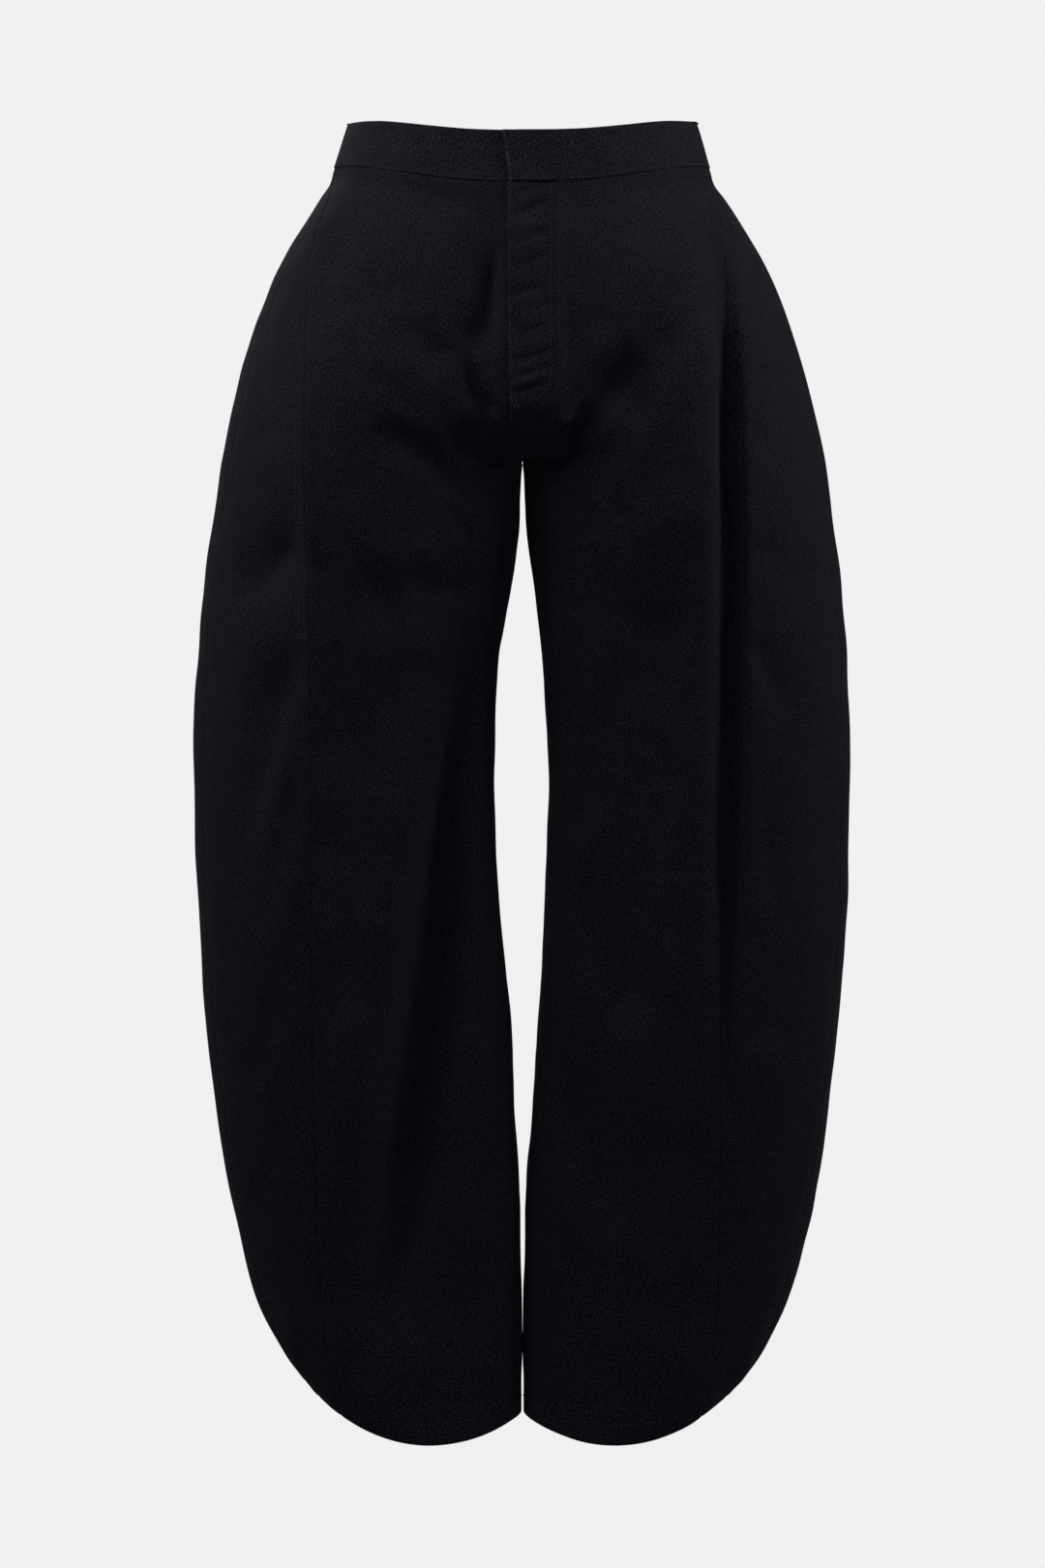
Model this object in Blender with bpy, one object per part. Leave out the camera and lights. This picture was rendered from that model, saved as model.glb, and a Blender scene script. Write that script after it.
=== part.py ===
"""Barrel leg trousers in black cotton twill, filled out as when worn. Metres, +Z up, front at -Y.

The origin is the middle of the waist, level with the top of its sides. The wearer's right is at -X.
Every panel is a wall of cloth on one form, an oval section at each level that splits in two at the
crotch. Distances in the tables are millimetres, and "down" is measured from the top of the sides.
"""
import math
from collections import namedtuple

import bmesh
import bpy
import numpy as np

MM = 0.001
SEAM_GAP = 0.3
CLOTH = 1.5
HEM_CLOTH = 2.8
HEM_DEPTH = 12.0
BAND_CLOTH = 2.6
BAND_PROUD = 1.0
BAND_TOP = 2.0
BAND_FOOT = 37.0
HEM_LEVEL = 983.0

# The crotch: where the oval splits, and how high its curve climbs to the flat front and seat
CROTCH = 266.0
CROTCH_CLIMB = 60.0
CROTCH_POWER = 1.5
CROTCH_SOFTNESS = 0.2
FRONT_LEAN = 0.1

# How full the inner end of each oval is, how far its outer end is pinched to an edge, and how the dip
# of front and back spreads
INNER_PINCH = 0.6
OUTER_PINCH = 1.2
BODY_DIP_POWER = 3.0
LEG_DIP_POWER = 2.0

# Half of the trousers at one level: how far the outline, the inner thigh and the crest, where front
# and back are deepest, lie from the middle, how deep they are, and how far the row sinks at the front,
# at the back and inside the leg
Section = namedtuple("Section", "down outer inner_right inner_left crest front back dip back_dip inner_dip")
SECTIONS = [
    Section(2, 133.5, 0.5, 0.5, 12, 95, 93, 14.7, 0, 0),
    Section(37, 145.2, 0.5, 0.5, 14, 98, 99, 19.3, 2, 0),
    Section(48, 148.9, 0.5, 0.5, 17, 99, 102, 18, 2, 0),
    Section(60, 157.6, 0.5, 0.5, 21, 100, 106, 16, 2, 0),
    Section(85, 173.6, 0.5, 0.5, 31, 103, 113, 11, 1, 0),
    Section(130, 196.3, 0.5, 0.5, 52, 107, 121, 4, 0, 0),
    Section(190, 217.2, 0.5, 0.5, 80, 109, 126, 0, 0, 0),
    Section(266, 233.5, 0.5, 0.5, 107, 105, 116, 0, 0, 0),
    Section(300, 239.2, 2.3, 2.5, 114, 102, 108, 0, 0, 0),
    Section(330, 243.6, 5.0, 6.0, 120, 99, 103, 0, 0, 0),
    Section(370, 247.6, 11.3, 11.5, 127, 95, 98, 0, 0, 0),
    Section(415, 251.5, 18.7, 15.4, 133, 91, 94, 0, 0, 0),
    Section(505, 254.4, 21.7, 20.7, 138, 86, 89, 0, 0, 0),
    Section(595, 252.2, 19.0, 17.7, 135, 82, 84, 0, 0, 0),
    Section(685, 246.3, 10.1, 13.4, 129, 77, 79, 0, 0, 0),
    Section(775, 236.4, 5.6, 6.4, 121, 71, 74, 0, 0, 0),
    Section(865, 219.4, 1.2, 1.6, 110, 65, 67, 4, 3, 1),
    Section(910, 206.4, 1.0, 1.0, 103.5, 62, 64, 10, 7, 4),
    Section(955, 184.8, 1.0, 1.0, 93, 59, 61, 20, 14, 11),
    Section(983, 163.2, 0.7, 0.7, 82, 57, 58, 28, 20, 16),
]

# Where the long front seams and the outseams run: the seam's distance from the middle on each side,
# and how far the outseam lies inside the outline
Seam = namedtuple("Seam", "down front_right front_left outseam_inset")
SEAMS = [
    Seam(37, 142.0, 142.8, 0.8),
    Seam(60, 148.2, 149.5, 3.0),
    Seam(90, 157.7, 154.5, 8.0),
    Seam(120, 164.7, 159.5, 8.0),
    Seam(160, 165.0, 161.0, 8.0),
    Seam(280, 164.7, 161.0, 8.0),
    Seam(370, 161.5, 161.0, 8.0),
    Seam(505, 161.0, 158.0, 8.0),
    Seam(680, 160.0, 152.0, 8.0),
    Seam(865, 156.0, 150.0, 8.0),
    Seam(940, 149.0, 145.0, 7.0),
    Seam(983, 140.0, 138.0, 6.0),
]

# The rows of every panel: how far down each lies at the middle of the body or leg, and at its sides
Row = namedtuple("Row", "middle side")
BODY_ROWS = [
    Row(46, 46), Row(57, 57), Row(70, 70), Row(86, 86), Row(106, 106), Row(130, 130),
    Row(154, 154), Row(177, 177), Row(198, 198), Row(214, 216), Row(221, 223), Row(228, 230),
    Row(234, 237), Row(240, 244), Row(248, 251), Row(256, 259), Row(261.5, 266), Row(264.8, 272), Row(266, 278), Row(270, 285),
    Row(278, 294), Row(290, 306), Row(306, 321), Row(325, 338), Row(348, 358), Row(374, 380),
    Row(403, 405),
]
LEG_ROWS = [Row(level, level) for level in range(435, 880, 34)]
HEM_ROWS = [Row(level, level) for level in (899, 921, 941, 957)]

# Folds of the cloth, each a curve through three places (across, down) with how wide it spreads and
# how deep it lies; a negative depth is a ridge
Fold = namedtuple("Fold", "x1 down1 x2 down2 x3 down3 width depth")
FRONT_FOLDS = [
    # Drag folds beside the fly and out of the crotch, wearer's right
    Fold(-52, 175, -32, 222, -6, 249, 11, 7.0),
    Fold(-46, 243, -26, 248, -5, 254, 8, 4.0),
    Fold(-122, 234, -82, 226, -24, 303, 15, 5.5),
    Fold(-102, 156, -72, 182, -53, 202, 12, 3.0),
    Fold(-86, 351, -57, 341, -30, 354, 10, 4.0),
    # Drag folds out of the crotch, wearer's left
    Fold(83, 182, 50, 212, 11, 264, 14, 6.5),
    Fold(125, 149, 93, 196, 77, 266, 18, 5.5),
    Fold(46, 240, 26, 257, 10, 284, 11, 4.5),
    # The pressed edge along the right seam, and the deep fold that runs behind the left seam
    Fold(-165, 118, -163, 340, -160, 600, 9, -2.5),
    Fold(156, 78, 173, 330, 156, 700, 10, 12.0),
    Fold(146, 290, 147, 430, 141, 580, 12, -3.0),
    # Side panels
    Fold(-169, 266, -196, 288, -226, 330, 13, 4.5),
    Fold(-172, 388, -190, 440, -222, 566, 21, 6.5),
    Fold(170, 389, 186, 425, 204, 464, 12, 4.0),
    Fold(184, 699, 208, 702, 234, 709, 10, 3.0),
    # Long troughs down the legs
    Fold(-38, 505, -64, 650, -106, 940, 25, 8.0),
    Fold(35, 576, 60, 616, 98, 680, 14, 4.0),
    Fold(34, 690, 50, 762, 68, 836, 16, 3.5),
]
BACK_FOLDS = [
    # Under the seat
    Fold(-20, 266, -80, 296, -152, 286, 15, 6.0),
    Fold(-22, 304, -70, 334, -122, 338, 12, 4.0),
    Fold(18, 270, 70, 303, 137, 297, 14, 5.5),
    Fold(24, 317, 76, 352, 132, 345, 13, 4.5),
    # Long troughs down the thighs and calves
    Fold(-152, 378, -138, 520, -120, 664, 24, 7.0),
    Fold(166, 362, 152, 500, 142, 642, 22, 6.0),
    Fold(-70, 704, -86, 800, -122, 906, 22, 6.0),
    Fold(80, 722, 70, 820, 86, 934, 24, 5.5),
    # Behind the knees
    Fold(-56, 602, -100, 624, -152, 608, 12, 4.0),
    Fold(50, 640, 100, 655, 162, 634, 12, 4.0),
    # Beside the outseams
    Fold(-196, 296, -214, 380, -224, 472, 14, 4.0),
    Fold(196, 262, 214, 336, 224, 428, 14, 3.5),
]
FOLD_SAMPLES = 17
FOLD_END = 0.22

# The lap at the middle front: the left side lies over the right one, which reaches on below it
Lap = namedtuple("Lap", "down edge")
FLY_EDGE = [Lap(37, 12.0), Lap(235, 10.0), Lap(251, 6.0), Lap(265, -SEAM_GAP / 2), Lap(983, -SEAM_GAP / 2)]
UNDERLAP = 24.0
UNDERLAP_TOP = 214.0
UNDERLAP_FOOT = 234.0
BAND_LAP_TOP = 15.1
BAND_LAP_FOOT = 9.3
LAP_STEP = 12.0
LAP_COLUMNS = 4
LAP_LIFT = CLOTH + SEAM_GAP
LAP_FULL = 26.0
LAP_FLAT = 36.0
FLY_FOOT = 238.0
FLY_FLAT = 250.0
FLY_STIFF = 26.0
UNDERLAP_SINK = 1.0
UNDERLAP_SINK_WIDTH = 8.0
BAND_LAP_FULL = 28.0
BAND_LAP_FLAT = 46.0

FRONT_COLUMNS = 11
SIDE_COLUMNS = 7
SIDE_BUNCHING = 1.5
BACK_COLUMNS = 12
BAND_COLUMNS = 22
LENGTH_SAMPLES = 160
STEP = 1e-4
SHARP_EDGE = math.radians(50)

TWILL = ("black_twill", (0.0105, 0.0098, 0.0130, 1.0), 0.9)
BAND_TWILL = ("black_twill_band", (0.0120, 0.0112, 0.0145, 1.0), 0.88)

RIGHT = -1
LEFT = 1


def clear_scene():
    """Remove whatever the file holds."""
    for thing in list(bpy.data.objects):
        bpy.data.objects.remove(thing, do_unlink=True)


def cloth_material(name, colour, roughness):
    """A plain cloth finish."""
    material = bpy.data.materials.new(name)
    material.use_nodes = True
    shader = material.node_tree.nodes["Principled BSDF"]
    shader.inputs["Base Color"].default_value = colour
    shader.inputs["Roughness"].default_value = roughness
    shader.inputs["Metallic"].default_value = 0.0
    return material


def read_table(table, column, down):
    """A smooth curve through one column of a table, with no overshoot between its rows."""
    levels = np.array([row.down for row in table], float)
    values = np.array([getattr(row, column) for row in table], float)
    spans = np.diff(levels)
    slopes = np.diff(values) / spans
    tangents = np.zeros(len(values))
    tangents[0] = slopes[0]
    tangents[-1] = slopes[-1]
    for i in range(1, len(values) - 1):
        if slopes[i - 1] * slopes[i] > 0:
            tangents[i] = 2 * slopes[i - 1] * slopes[i] / (slopes[i - 1] + slopes[i])
    i = np.clip(np.searchsorted(levels, down) - 1, 0, len(spans) - 1)
    t = np.clip((down - levels[i]) / spans[i], 0, 1)
    rise = values[i + 1] - values[i]
    return (values[i] + t * spans[i] * tangents[i]
            + t * t * (3 * rise - spans[i] * (2 * tangents[i] + tangents[i + 1]))
            + t * t * t * (spans[i] * (tangents[i] + tangents[i + 1]) - 2 * rise))


def ease(value, start, end):
    """Rise smoothly from 0 at start to 1 at end."""
    t = np.clip((value - start) / (end - start), 0, 1)
    return t * t * (3 - 2 * t)


def oval(side, down):
    """The crest of the oval at a level and its half widths inwards and outwards from there.

    Above the crotch the inner half reaches far past the body's middle, where front and back end.
    """
    outer = read_table(SECTIONS, "outer", down)
    inner = read_table(SECTIONS, "inner_right" if side == RIGHT else "inner_left", down)
    crest = read_table(SECTIONS, "crest", down)
    climb = np.clip((CROTCH - down) / CROTCH_CLIMB, 0, 1)
    climb = climb ** 2 * (1 + CROTCH_SOFTNESS) / (climb + CROTCH_SOFTNESS)
    lean = np.maximum((1 - climb) ** CROTCH_POWER, FRONT_LEAN)
    return crest, crest / lean - inner, outer - crest


def angle_at(side, out, down):
    """The angle round the oval at which its front lies a given distance out from the middle."""
    crest, inward, outwards = oval(side, down)
    half = np.where(out < crest, inward, outwards)
    return np.arccos(np.clip((crest - out) / half, -1, 1))


def bare_form(side, angle, down):
    """Points of the form without folds. The angle is 0 inside the leg, pi outside, and goes on behind.

    Above the crotch, angles past the body's middle give points of the other side, mirrored.
    """
    crest, inward, outwards = oval(side, down)
    middle_angle = np.where(down < CROTCH, np.arccos(np.clip(crest / inward, -1, 1)), 0)
    beyond_front = (angle < middle_angle) & (down < CROTCH)
    beyond_back = (angle > 2 * np.pi - middle_angle) & (down < CROTCH)
    turned = np.where(beyond_front, 2 * middle_angle - angle, angle)
    turned = np.where(beyond_back, 4 * np.pi - 2 * middle_angle - angle, turned)
    cosine = np.cos(turned)
    sine = np.sin(turned)
    out = crest - np.where(cosine > 0, inward, outwards) * cosine
    out = np.where(beyond_front | beyond_back, -out, out)
    pinch = INNER_PINCH + (OUTER_PINCH - INNER_PINCH) * (1 - cosine) / 2
    depth = np.where(sine < 0, read_table(SECTIONS, "back", down), -read_table(SECTIONS, "front", down))
    dip = np.where(sine < 0, read_table(SECTIONS, "back_dip", down), read_table(SECTIONS, "dip", down))
    dip_power = np.where(down < CROTCH, BODY_DIP_POWER, LEG_DIP_POWER)
    sink = dip * np.abs(sine) ** dip_power + read_table(SECTIONS, "inner_dip", down) * (1 + cosine) / 2
    return np.stack([side * out, depth * np.abs(sine) ** pinch, -(down + sink)], axis=-1)


def outward(points_at, side, angle, down):
    """The outward normals of a surface that is given as a function of angle and level."""
    along = points_at(side, angle + STEP, down) - points_at(side, angle - STEP, down)
    below = points_at(side, angle, down + STEP) - points_at(side, angle, down - STEP)
    normals = np.cross(along, below) * -side
    return normals / np.linalg.norm(normals, axis=-1, keepdims=True)


def fold_depth(folds, x, down):
    """How deep a set of folds lies at places given across and down."""
    total = np.zeros_like(x)
    for fold in folds:
        t = np.linspace(0, 1, FOLD_SAMPLES)
        path_x = (1 - t) ** 2 * fold.x1 + 2 * t * (1 - t) * fold.x2 + t * t * fold.x3
        path_down = (1 - t) ** 2 * fold.down1 + 2 * t * (1 - t) * fold.down2 + t * t * fold.down3
        nearest = np.full(x.shape, np.inf)
        place = np.zeros_like(x)
        for i in range(FOLD_SAMPLES - 1):
            run_x = path_x[i + 1] - path_x[i]
            run_down = path_down[i + 1] - path_down[i]
            part = ((x - path_x[i]) * run_x + (down - path_down[i]) * run_down) / (run_x ** 2 + run_down ** 2)
            part = np.clip(part, 0, 1)
            gap = np.hypot(x - path_x[i] - part * run_x, down - path_down[i] - part * run_down)
            place = np.where(gap < nearest, (i + part) / (FOLD_SAMPLES - 1), place)
            nearest = np.minimum(gap, nearest)
        ends = ease(place, 0, FOLD_END) * ease(1 - place, 0, FOLD_END)
        total += fold.depth * ends * np.exp(-(nearest / fold.width) ** 2)
    return total


def fly_softness(x, down):
    """How freely the front folds: not at all over the fly, whose layers hold it flat."""
    across = ease(x, -FLY_STIFF, -FLY_STIFF / 2) * (1 - ease(x, LAP_FLAT - LAP_STEP, LAP_FLAT + LAP_STEP))
    return 1 - across * (1 - ease(down, FLY_FOOT, FLY_FLAT))


def folded_form(side, angle, down):
    """Points of the form with its folds, which fade out where the cloth turns away to the outline."""
    points = bare_form(side, angle, down)
    normals = outward(bare_form, side, angle, down)
    x = points[..., 0]
    level = -points[..., 2]
    front = fold_depth(FRONT_FOLDS, x, level) * fly_softness(x, level)
    depth = np.where(normals[..., 1] < 0, front, fold_depth(BACK_FOLDS, x, level))
    return points - normals * (depth * np.abs(normals[..., 1]))[..., None]


def wall(name, side, angle, down, lift, thickness, material):
    """One closed panel of cloth: a grid of outer points, lifted off the form, and its inner side."""
    points = folded_form(side, angle, down)
    normals = outward(folded_form, side, angle, down)
    outer = points + normals * lift[..., None]
    inner = outer - normals * thickness[..., None]
    rows, columns = angle.shape
    bm = bmesh.new()
    skins = []
    for grid in (outer, inner):
        skins.append([[bm.verts.new([c * MM for c in grid[i, j]]) for j in range(columns)] for i in range(rows)])
    front, back = skins
    for i in range(rows - 1):
        for j in range(columns - 1):
            bm.faces.new((front[i][j], front[i][j + 1], front[i + 1][j + 1], front[i + 1][j]))
            bm.faces.new((back[i][j], back[i + 1][j], back[i + 1][j + 1], back[i][j + 1]))
    rim = [(0, j) for j in range(columns)] + [(i, columns - 1) for i in range(1, rows)]
    rim += [(rows - 1, j) for j in range(columns - 2, -1, -1)] + [(i, 0) for i in range(rows - 2, 0, -1)]
    for (i, j), (k, m) in zip(rim, rim[1:] + rim[:1]):
        bm.faces.new((front[k][m], front[i][j], back[i][j], back[k][m]))
    bmesh.ops.recalc_face_normals(bm, faces=bm.faces[:])
    mesh = bpy.data.meshes.new(name)
    bm.to_mesh(mesh)
    bm.free()
    mesh.shade_smooth()
    mesh.set_sharp_from_angle(angle=SHARP_EDGE)
    mesh.materials.append(material)
    panel = bpy.data.objects.new(name, mesh)
    bpy.context.scene.collection.objects.link(panel)
    return panel


def seam_step(side, angle, down):
    """The angle that half a seam's gap takes up at a place on the form."""
    run = np.linalg.norm(bare_form(side, angle + STEP, down) - bare_form(side, angle - STEP, down), axis=-1)
    return SEAM_GAP / 2 / (run / (2 * STEP))


def share_out(side, start, end, down, shares):
    """Angles that divide each row in given shares, half by angle and half by length of cloth."""
    steps = np.linspace(0, 1, LENGTH_SAMPLES)
    turns = start[:, None] + (end - start)[:, None] * steps
    points = bare_form(side, turns, np.repeat(down[:, None], LENGTH_SAMPLES, axis=1))
    runs = np.linalg.norm(np.diff(points, axis=1), axis=-1)
    angles = start[:, None] + (end - start)[:, None] * shares
    for i, run in enumerate(runs):
        length = np.concatenate([[0], np.cumsum(run)])
        angles[i] = (angles[i] + np.interp(shares * length[-1], length, turns[i])) / 2
    return angles


def panel_rows():
    """The levels of the panels' rows at the middle and at the sides, from the waistband to the hem."""
    top = BAND_FOOT + SEAM_GAP / 2
    fold_top = HEM_LEVEL - HEM_DEPTH
    hem = [Row(fold_top - 1, fold_top - 1), Row(fold_top + 1, fold_top + 1), Row(HEM_LEVEL, HEM_LEVEL)]
    rows = [Row(top, top)] + BODY_ROWS + LEG_ROWS + HEM_ROWS + hem
    return np.array([row.middle for row in rows], float), np.array([row.side for row in rows], float)


def cloth_thickness(down):
    """Single cloth, and the turned-up hem at the foot."""
    return np.where(down > HEM_LEVEL - HEM_DEPTH, HEM_CLOTH, CLOTH)


def front_seam(side, down):
    """The angle of the long front seam."""
    column = "front_right" if side == RIGHT else "front_left"
    return angle_at(side, read_table(SEAMS, column, down), down)


def outseam(side, down):
    """The angle of the outseam, just in front of the outline."""
    out = read_table(SECTIONS, "outer", down) - read_table(SEAMS, "outseam_inset", down)
    return angle_at(side, out, down)


def front_edge(side, down):
    """How far past the middle the front's free edge lies: over the other side, or on below it."""
    over = read_table(FLY_EDGE, "edge", down)
    if side == LEFT:
        return over
    share = np.clip((down - UNDERLAP_TOP) / (UNDERLAP_FOOT - UNDERLAP_TOP), 0, 1)
    return UNDERLAP * (1 - share) - (over + SEAM_GAP) * share


def front_panel(name, side, material):
    """The front of one side, from the fly, crotch seam and inseam to the long front seam."""
    middle, sides = panel_rows()
    edge = -front_edge(side, middle)
    crossing = edge < 0
    inseam_gap = seam_step(side, np.zeros_like(middle), middle)
    own = angle_at(side, np.abs(edge), middle)
    centre_angle = angle_at(side, 0, middle)
    start = np.where(middle < CROTCH, np.where(crossing, 2 * centre_angle - own, own), inseam_gap)
    end = front_seam(side, sides)
    end = end - seam_step(side, end, sides)
    share = np.linspace(0, 1, FRONT_COLUMNS)
    even = share_out(side, start, end, middle, share)
    lapped = np.empty_like(even)
    lap_step = LAP_STEP if side == LEFT else (LAP_STEP - edge) / (LAP_COLUMNS - 1)
    for j in range(LAP_COLUMNS):
        out = edge + j * lap_step
        turned = angle_at(side, np.abs(out), middle)
        lapped[:, j] = np.where(out < 0, 2 * centre_angle - turned, turned)
    rest = np.linspace(0, 1, FRONT_COLUMNS - LAP_COLUMNS + 1)
    lapped[:, LAP_COLUMNS - 1:] = share_out(side, lapped[:, LAP_COLUMNS - 1], end, middle, rest)
    spread = ease(middle, FLY_FOOT, CROTCH)[:, None]
    angle = lapped * (1 - spread) + even * spread
    angle[:, 0] = start
    down = middle[:, None] + (sides - middle)[:, None] * ease(share, 0, 1)
    out = side * bare_form(side, angle, down)[..., 0]
    if side == LEFT:
        lift = LAP_LIFT * (1 - ease(out, LAP_FULL, LAP_FLAT)) * (1 - ease(down, FLY_FOOT, FLY_FLAT))
    else:
        hidden = read_table(FLY_EDGE, "edge", down) - out
        lift = -UNDERLAP_SINK * ease(hidden, 0, UNDERLAP_SINK_WIDTH) * (1 - ease(down, FLY_FOOT, FLY_FLAT))
    return wall(name, side, angle, down, lift, cloth_thickness(down), material)


def side_panel(name, side, material):
    """The crescent between the long front seam and the outseam, narrow at the waist and at the hem."""
    _, down = panel_rows()
    start = front_seam(side, down)
    start = start + seam_step(side, start, down)
    end = outseam(side, down)
    end = end - seam_step(side, end, down)
    angle = share_out(side, start, end, down, np.linspace(0, 1, SIDE_COLUMNS) ** SIDE_BUNCHING)
    down = np.repeat(down[:, None], SIDE_COLUMNS, axis=1)
    return wall(name, side, angle, down, np.zeros_like(down), cloth_thickness(down), material)


def back_panel(name, side, material):
    """The back of one side, round the outline from the outseam to the centre back and the inseam."""
    middle, sides = panel_rows()
    start = outseam(side, sides)
    start = start + seam_step(side, start, sides)
    inseam_gap = seam_step(side, np.zeros_like(middle), middle)
    end = 2 * np.pi - np.where(middle < CROTCH, angle_at(side, SEAM_GAP / 2, middle), inseam_gap)
    share = np.linspace(0, 1, BACK_COLUMNS)
    angle = share_out(side, start, end, middle, share)
    down = sides[:, None] + (middle - sides)[:, None] * ease(share, 0, 1)
    return wall(name, side, angle, down, np.zeros_like(down), cloth_thickness(down), material)


def waistband(name, side, material):
    """Half of the waistband, from its lap at the middle front to the centre back."""
    levels = np.linspace(BAND_FOOT - SEAM_GAP / 2, BAND_TOP, 3)
    lap = np.interp(levels, [BAND_TOP, BAND_FOOT], [BAND_LAP_TOP, BAND_LAP_FOOT])
    edge = -lap if side == LEFT else np.full(3, -UNDERLAP)
    columns = []
    for j in range(LAP_COLUMNS + 1):
        out = edge + j * LAP_STEP
        turned = angle_at(side, np.abs(out), levels)
        columns.append(np.where(out < 0, 2 * angle_at(side, 0, levels) - turned, turned))
    last = columns.pop()
    end = 2 * np.pi - angle_at(side, SEAM_GAP / 2, levels)
    rest = share_out(side, last, end, levels, np.linspace(0, 1, BAND_COLUMNS - LAP_COLUMNS))
    angle = np.concatenate([np.stack(columns, axis=1), rest], axis=1)
    down = np.repeat(levels[:, None], angle.shape[1], axis=1)
    lift = np.full(down.shape, BAND_PROUD)
    if side == LEFT:
        points = bare_form(side, angle, down)
        behind = points[..., 1] > 0
        covering = 1 - ease(side * points[..., 0], BAND_LAP_FULL, BAND_LAP_FLAT)
        lift = lift + np.where(behind, 0, (BAND_CLOTH + SEAM_GAP) * covering)
    return wall(name, side, angle, down, lift, np.full(down.shape, BAND_CLOTH), material)


def main():
    """Cut and place the eight pieces."""
    clear_scene()
    twill = cloth_material(*TWILL)
    band_twill = cloth_material(*BAND_TWILL)
    for side, word in ((RIGHT, "right"), (LEFT, "left")):
        front_panel("front_" + word, side, twill)
        side_panel("side_" + word, side, twill)
        back_panel("back_" + word, side, twill)
        waistband("waistband_" + word, side, band_twill)


main()
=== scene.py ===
"""Barrel leg trousers in black cotton twill, filled out as when worn, on a plain pale ground.

The panels are thin shells of cloth on one form, an oval section at each level that splits in two at
the crotch. The tables are in millimetres; "down" is measured from the top of the sides, x is towards
the wearer's left, and the front faces -Y.
"""

import math
from collections import namedtuple

import bpy
import numpy as np
from bpy.props import FloatProperty, FloatVectorProperty, IntProperty, PointerProperty
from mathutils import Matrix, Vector


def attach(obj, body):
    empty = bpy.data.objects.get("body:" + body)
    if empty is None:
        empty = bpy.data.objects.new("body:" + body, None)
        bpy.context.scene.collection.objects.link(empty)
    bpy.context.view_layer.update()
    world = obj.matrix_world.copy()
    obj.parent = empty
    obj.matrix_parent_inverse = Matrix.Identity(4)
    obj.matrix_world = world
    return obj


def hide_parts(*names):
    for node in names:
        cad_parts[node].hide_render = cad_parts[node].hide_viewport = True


bl_info = {
    "name": "Barrel Leg Trousers",
    "version": (1, 0, 0),
    "blender": (4, 5, 0),
    "location": "View3D > Sidebar > Trousers",
    "description": "Sews a pair of black twill barrel leg trousers in their worn shape",
    "category": "Add Mesh",
}

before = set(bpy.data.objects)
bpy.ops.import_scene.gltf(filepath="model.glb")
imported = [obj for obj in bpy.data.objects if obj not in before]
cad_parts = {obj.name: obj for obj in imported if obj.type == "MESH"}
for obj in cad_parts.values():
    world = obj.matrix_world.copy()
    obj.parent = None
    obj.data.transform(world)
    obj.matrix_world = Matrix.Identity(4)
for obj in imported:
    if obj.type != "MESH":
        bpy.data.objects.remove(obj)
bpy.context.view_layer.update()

MM = 0.001
RIGHT = -1
LEFT = 1
SIDES = ((RIGHT, "right"), (LEFT, "left"))
BODY = "root"

SEAM_GAP = 0.1
HEM_CLOTH = 2.8
HEM_DEPTH = 12.0
HEM_STEP = 1.0
BAND_CLOTH = 2.2
BAND_PROUD = 0.9
BAND_TOP = 2.0
BAND_FOOT = 37.0
HEM_LEVEL = 983.0

# The crotch: where the oval splits, and how high its curve climbs to the flat front and seat
CROTCH = 266.0
CROTCH_CLIMB = 52.0
CROTCH_POWER = 1.5
CROTCH_SOFTNESS = 0.2
FRONT_LEAN = 0.1

# How full the inner end of each oval is, how far its outer end is pinched to an edge, and how the dip
# of front and back spreads
INNER_PINCH = 0.5
OUTER_PINCH = 1.2
BODY_DIP_POWER = 3.0
LEG_DIP_POWER = 2.0

# Half of the trousers at one level: how far the outline, the inner thigh and the crest, where front
# and back are deepest, lie from the middle, how deep they are, and how far the row sinks at the front,
# at the back and inside the leg
Section = namedtuple("Section", "down outer inner_right inner_left crest front back dip back_dip inner_dip")
SECTIONS = [
    Section(2, 133.5, 0.5, 0.5, 12, 95, 93, 14.7, 0, 0),
    Section(37, 145.2, 0.5, 0.5, 14, 98, 99, 19.3, 2, 0),
    Section(48, 148.9, 0.5, 0.5, 17, 99, 102, 18, 2, 0),
    Section(60, 157.6, 0.5, 0.5, 21, 100, 106, 16, 2, 0),
    Section(85, 173.6, 0.5, 0.5, 31, 103, 113, 11, 1, 0),
    Section(130, 196.3, 0.5, 0.5, 52, 107, 121, 4, 0, 0),
    Section(190, 217.2, 0.5, 0.5, 80, 109, 126, 0, 0, 0),
    Section(266, 233.5, 0.5, 0.5, 107, 105, 116, 0, 0, 0),
    Section(270, 234.2, 0.9, 1.0, 107.8, 104.7, 114.9, 0, 0, 0),
    Section(273, 234.7, 1.2, 1.3, 108.4, 104.5, 114.4, 0, 0, 0),
    Section(300, 239.2, 2.3, 2.5, 114, 102, 108, 0, 0, 0),
    Section(330, 243.6, 5.0, 6.0, 120, 99, 103, 0, 0, 0),
    Section(370, 247.6, 11.3, 11.5, 127, 95, 98, 0, 0, 0),
    Section(415, 251.5, 18.7, 15.4, 133, 91, 94, 0, 0, 0),
    Section(505, 254.4, 21.7, 20.7, 138, 86, 89, 0, 0, 0),
    Section(595, 252.2, 19.0, 17.7, 135, 82, 84, 0, 0, 0),
    Section(685, 246.3, 10.1, 13.4, 129, 77, 79, 0, 0, 0),
    Section(775, 236.4, 5.6, 6.4, 121, 71, 74, 0, 0, 0),
    Section(865, 219.4, 1.2, 1.6, 110, 65, 67, 4, 3, 1),
    Section(910, 206.4, 1.0, 1.0, 103.5, 62, 64, 10, 7, 4),
    Section(955, 184.8, 1.0, 1.0, 93, 59, 61, 20, 14, 11),
    Section(983, 163.2, 0.7, 0.7, 82, 57, 58, 28, 20, 16),
]

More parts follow.
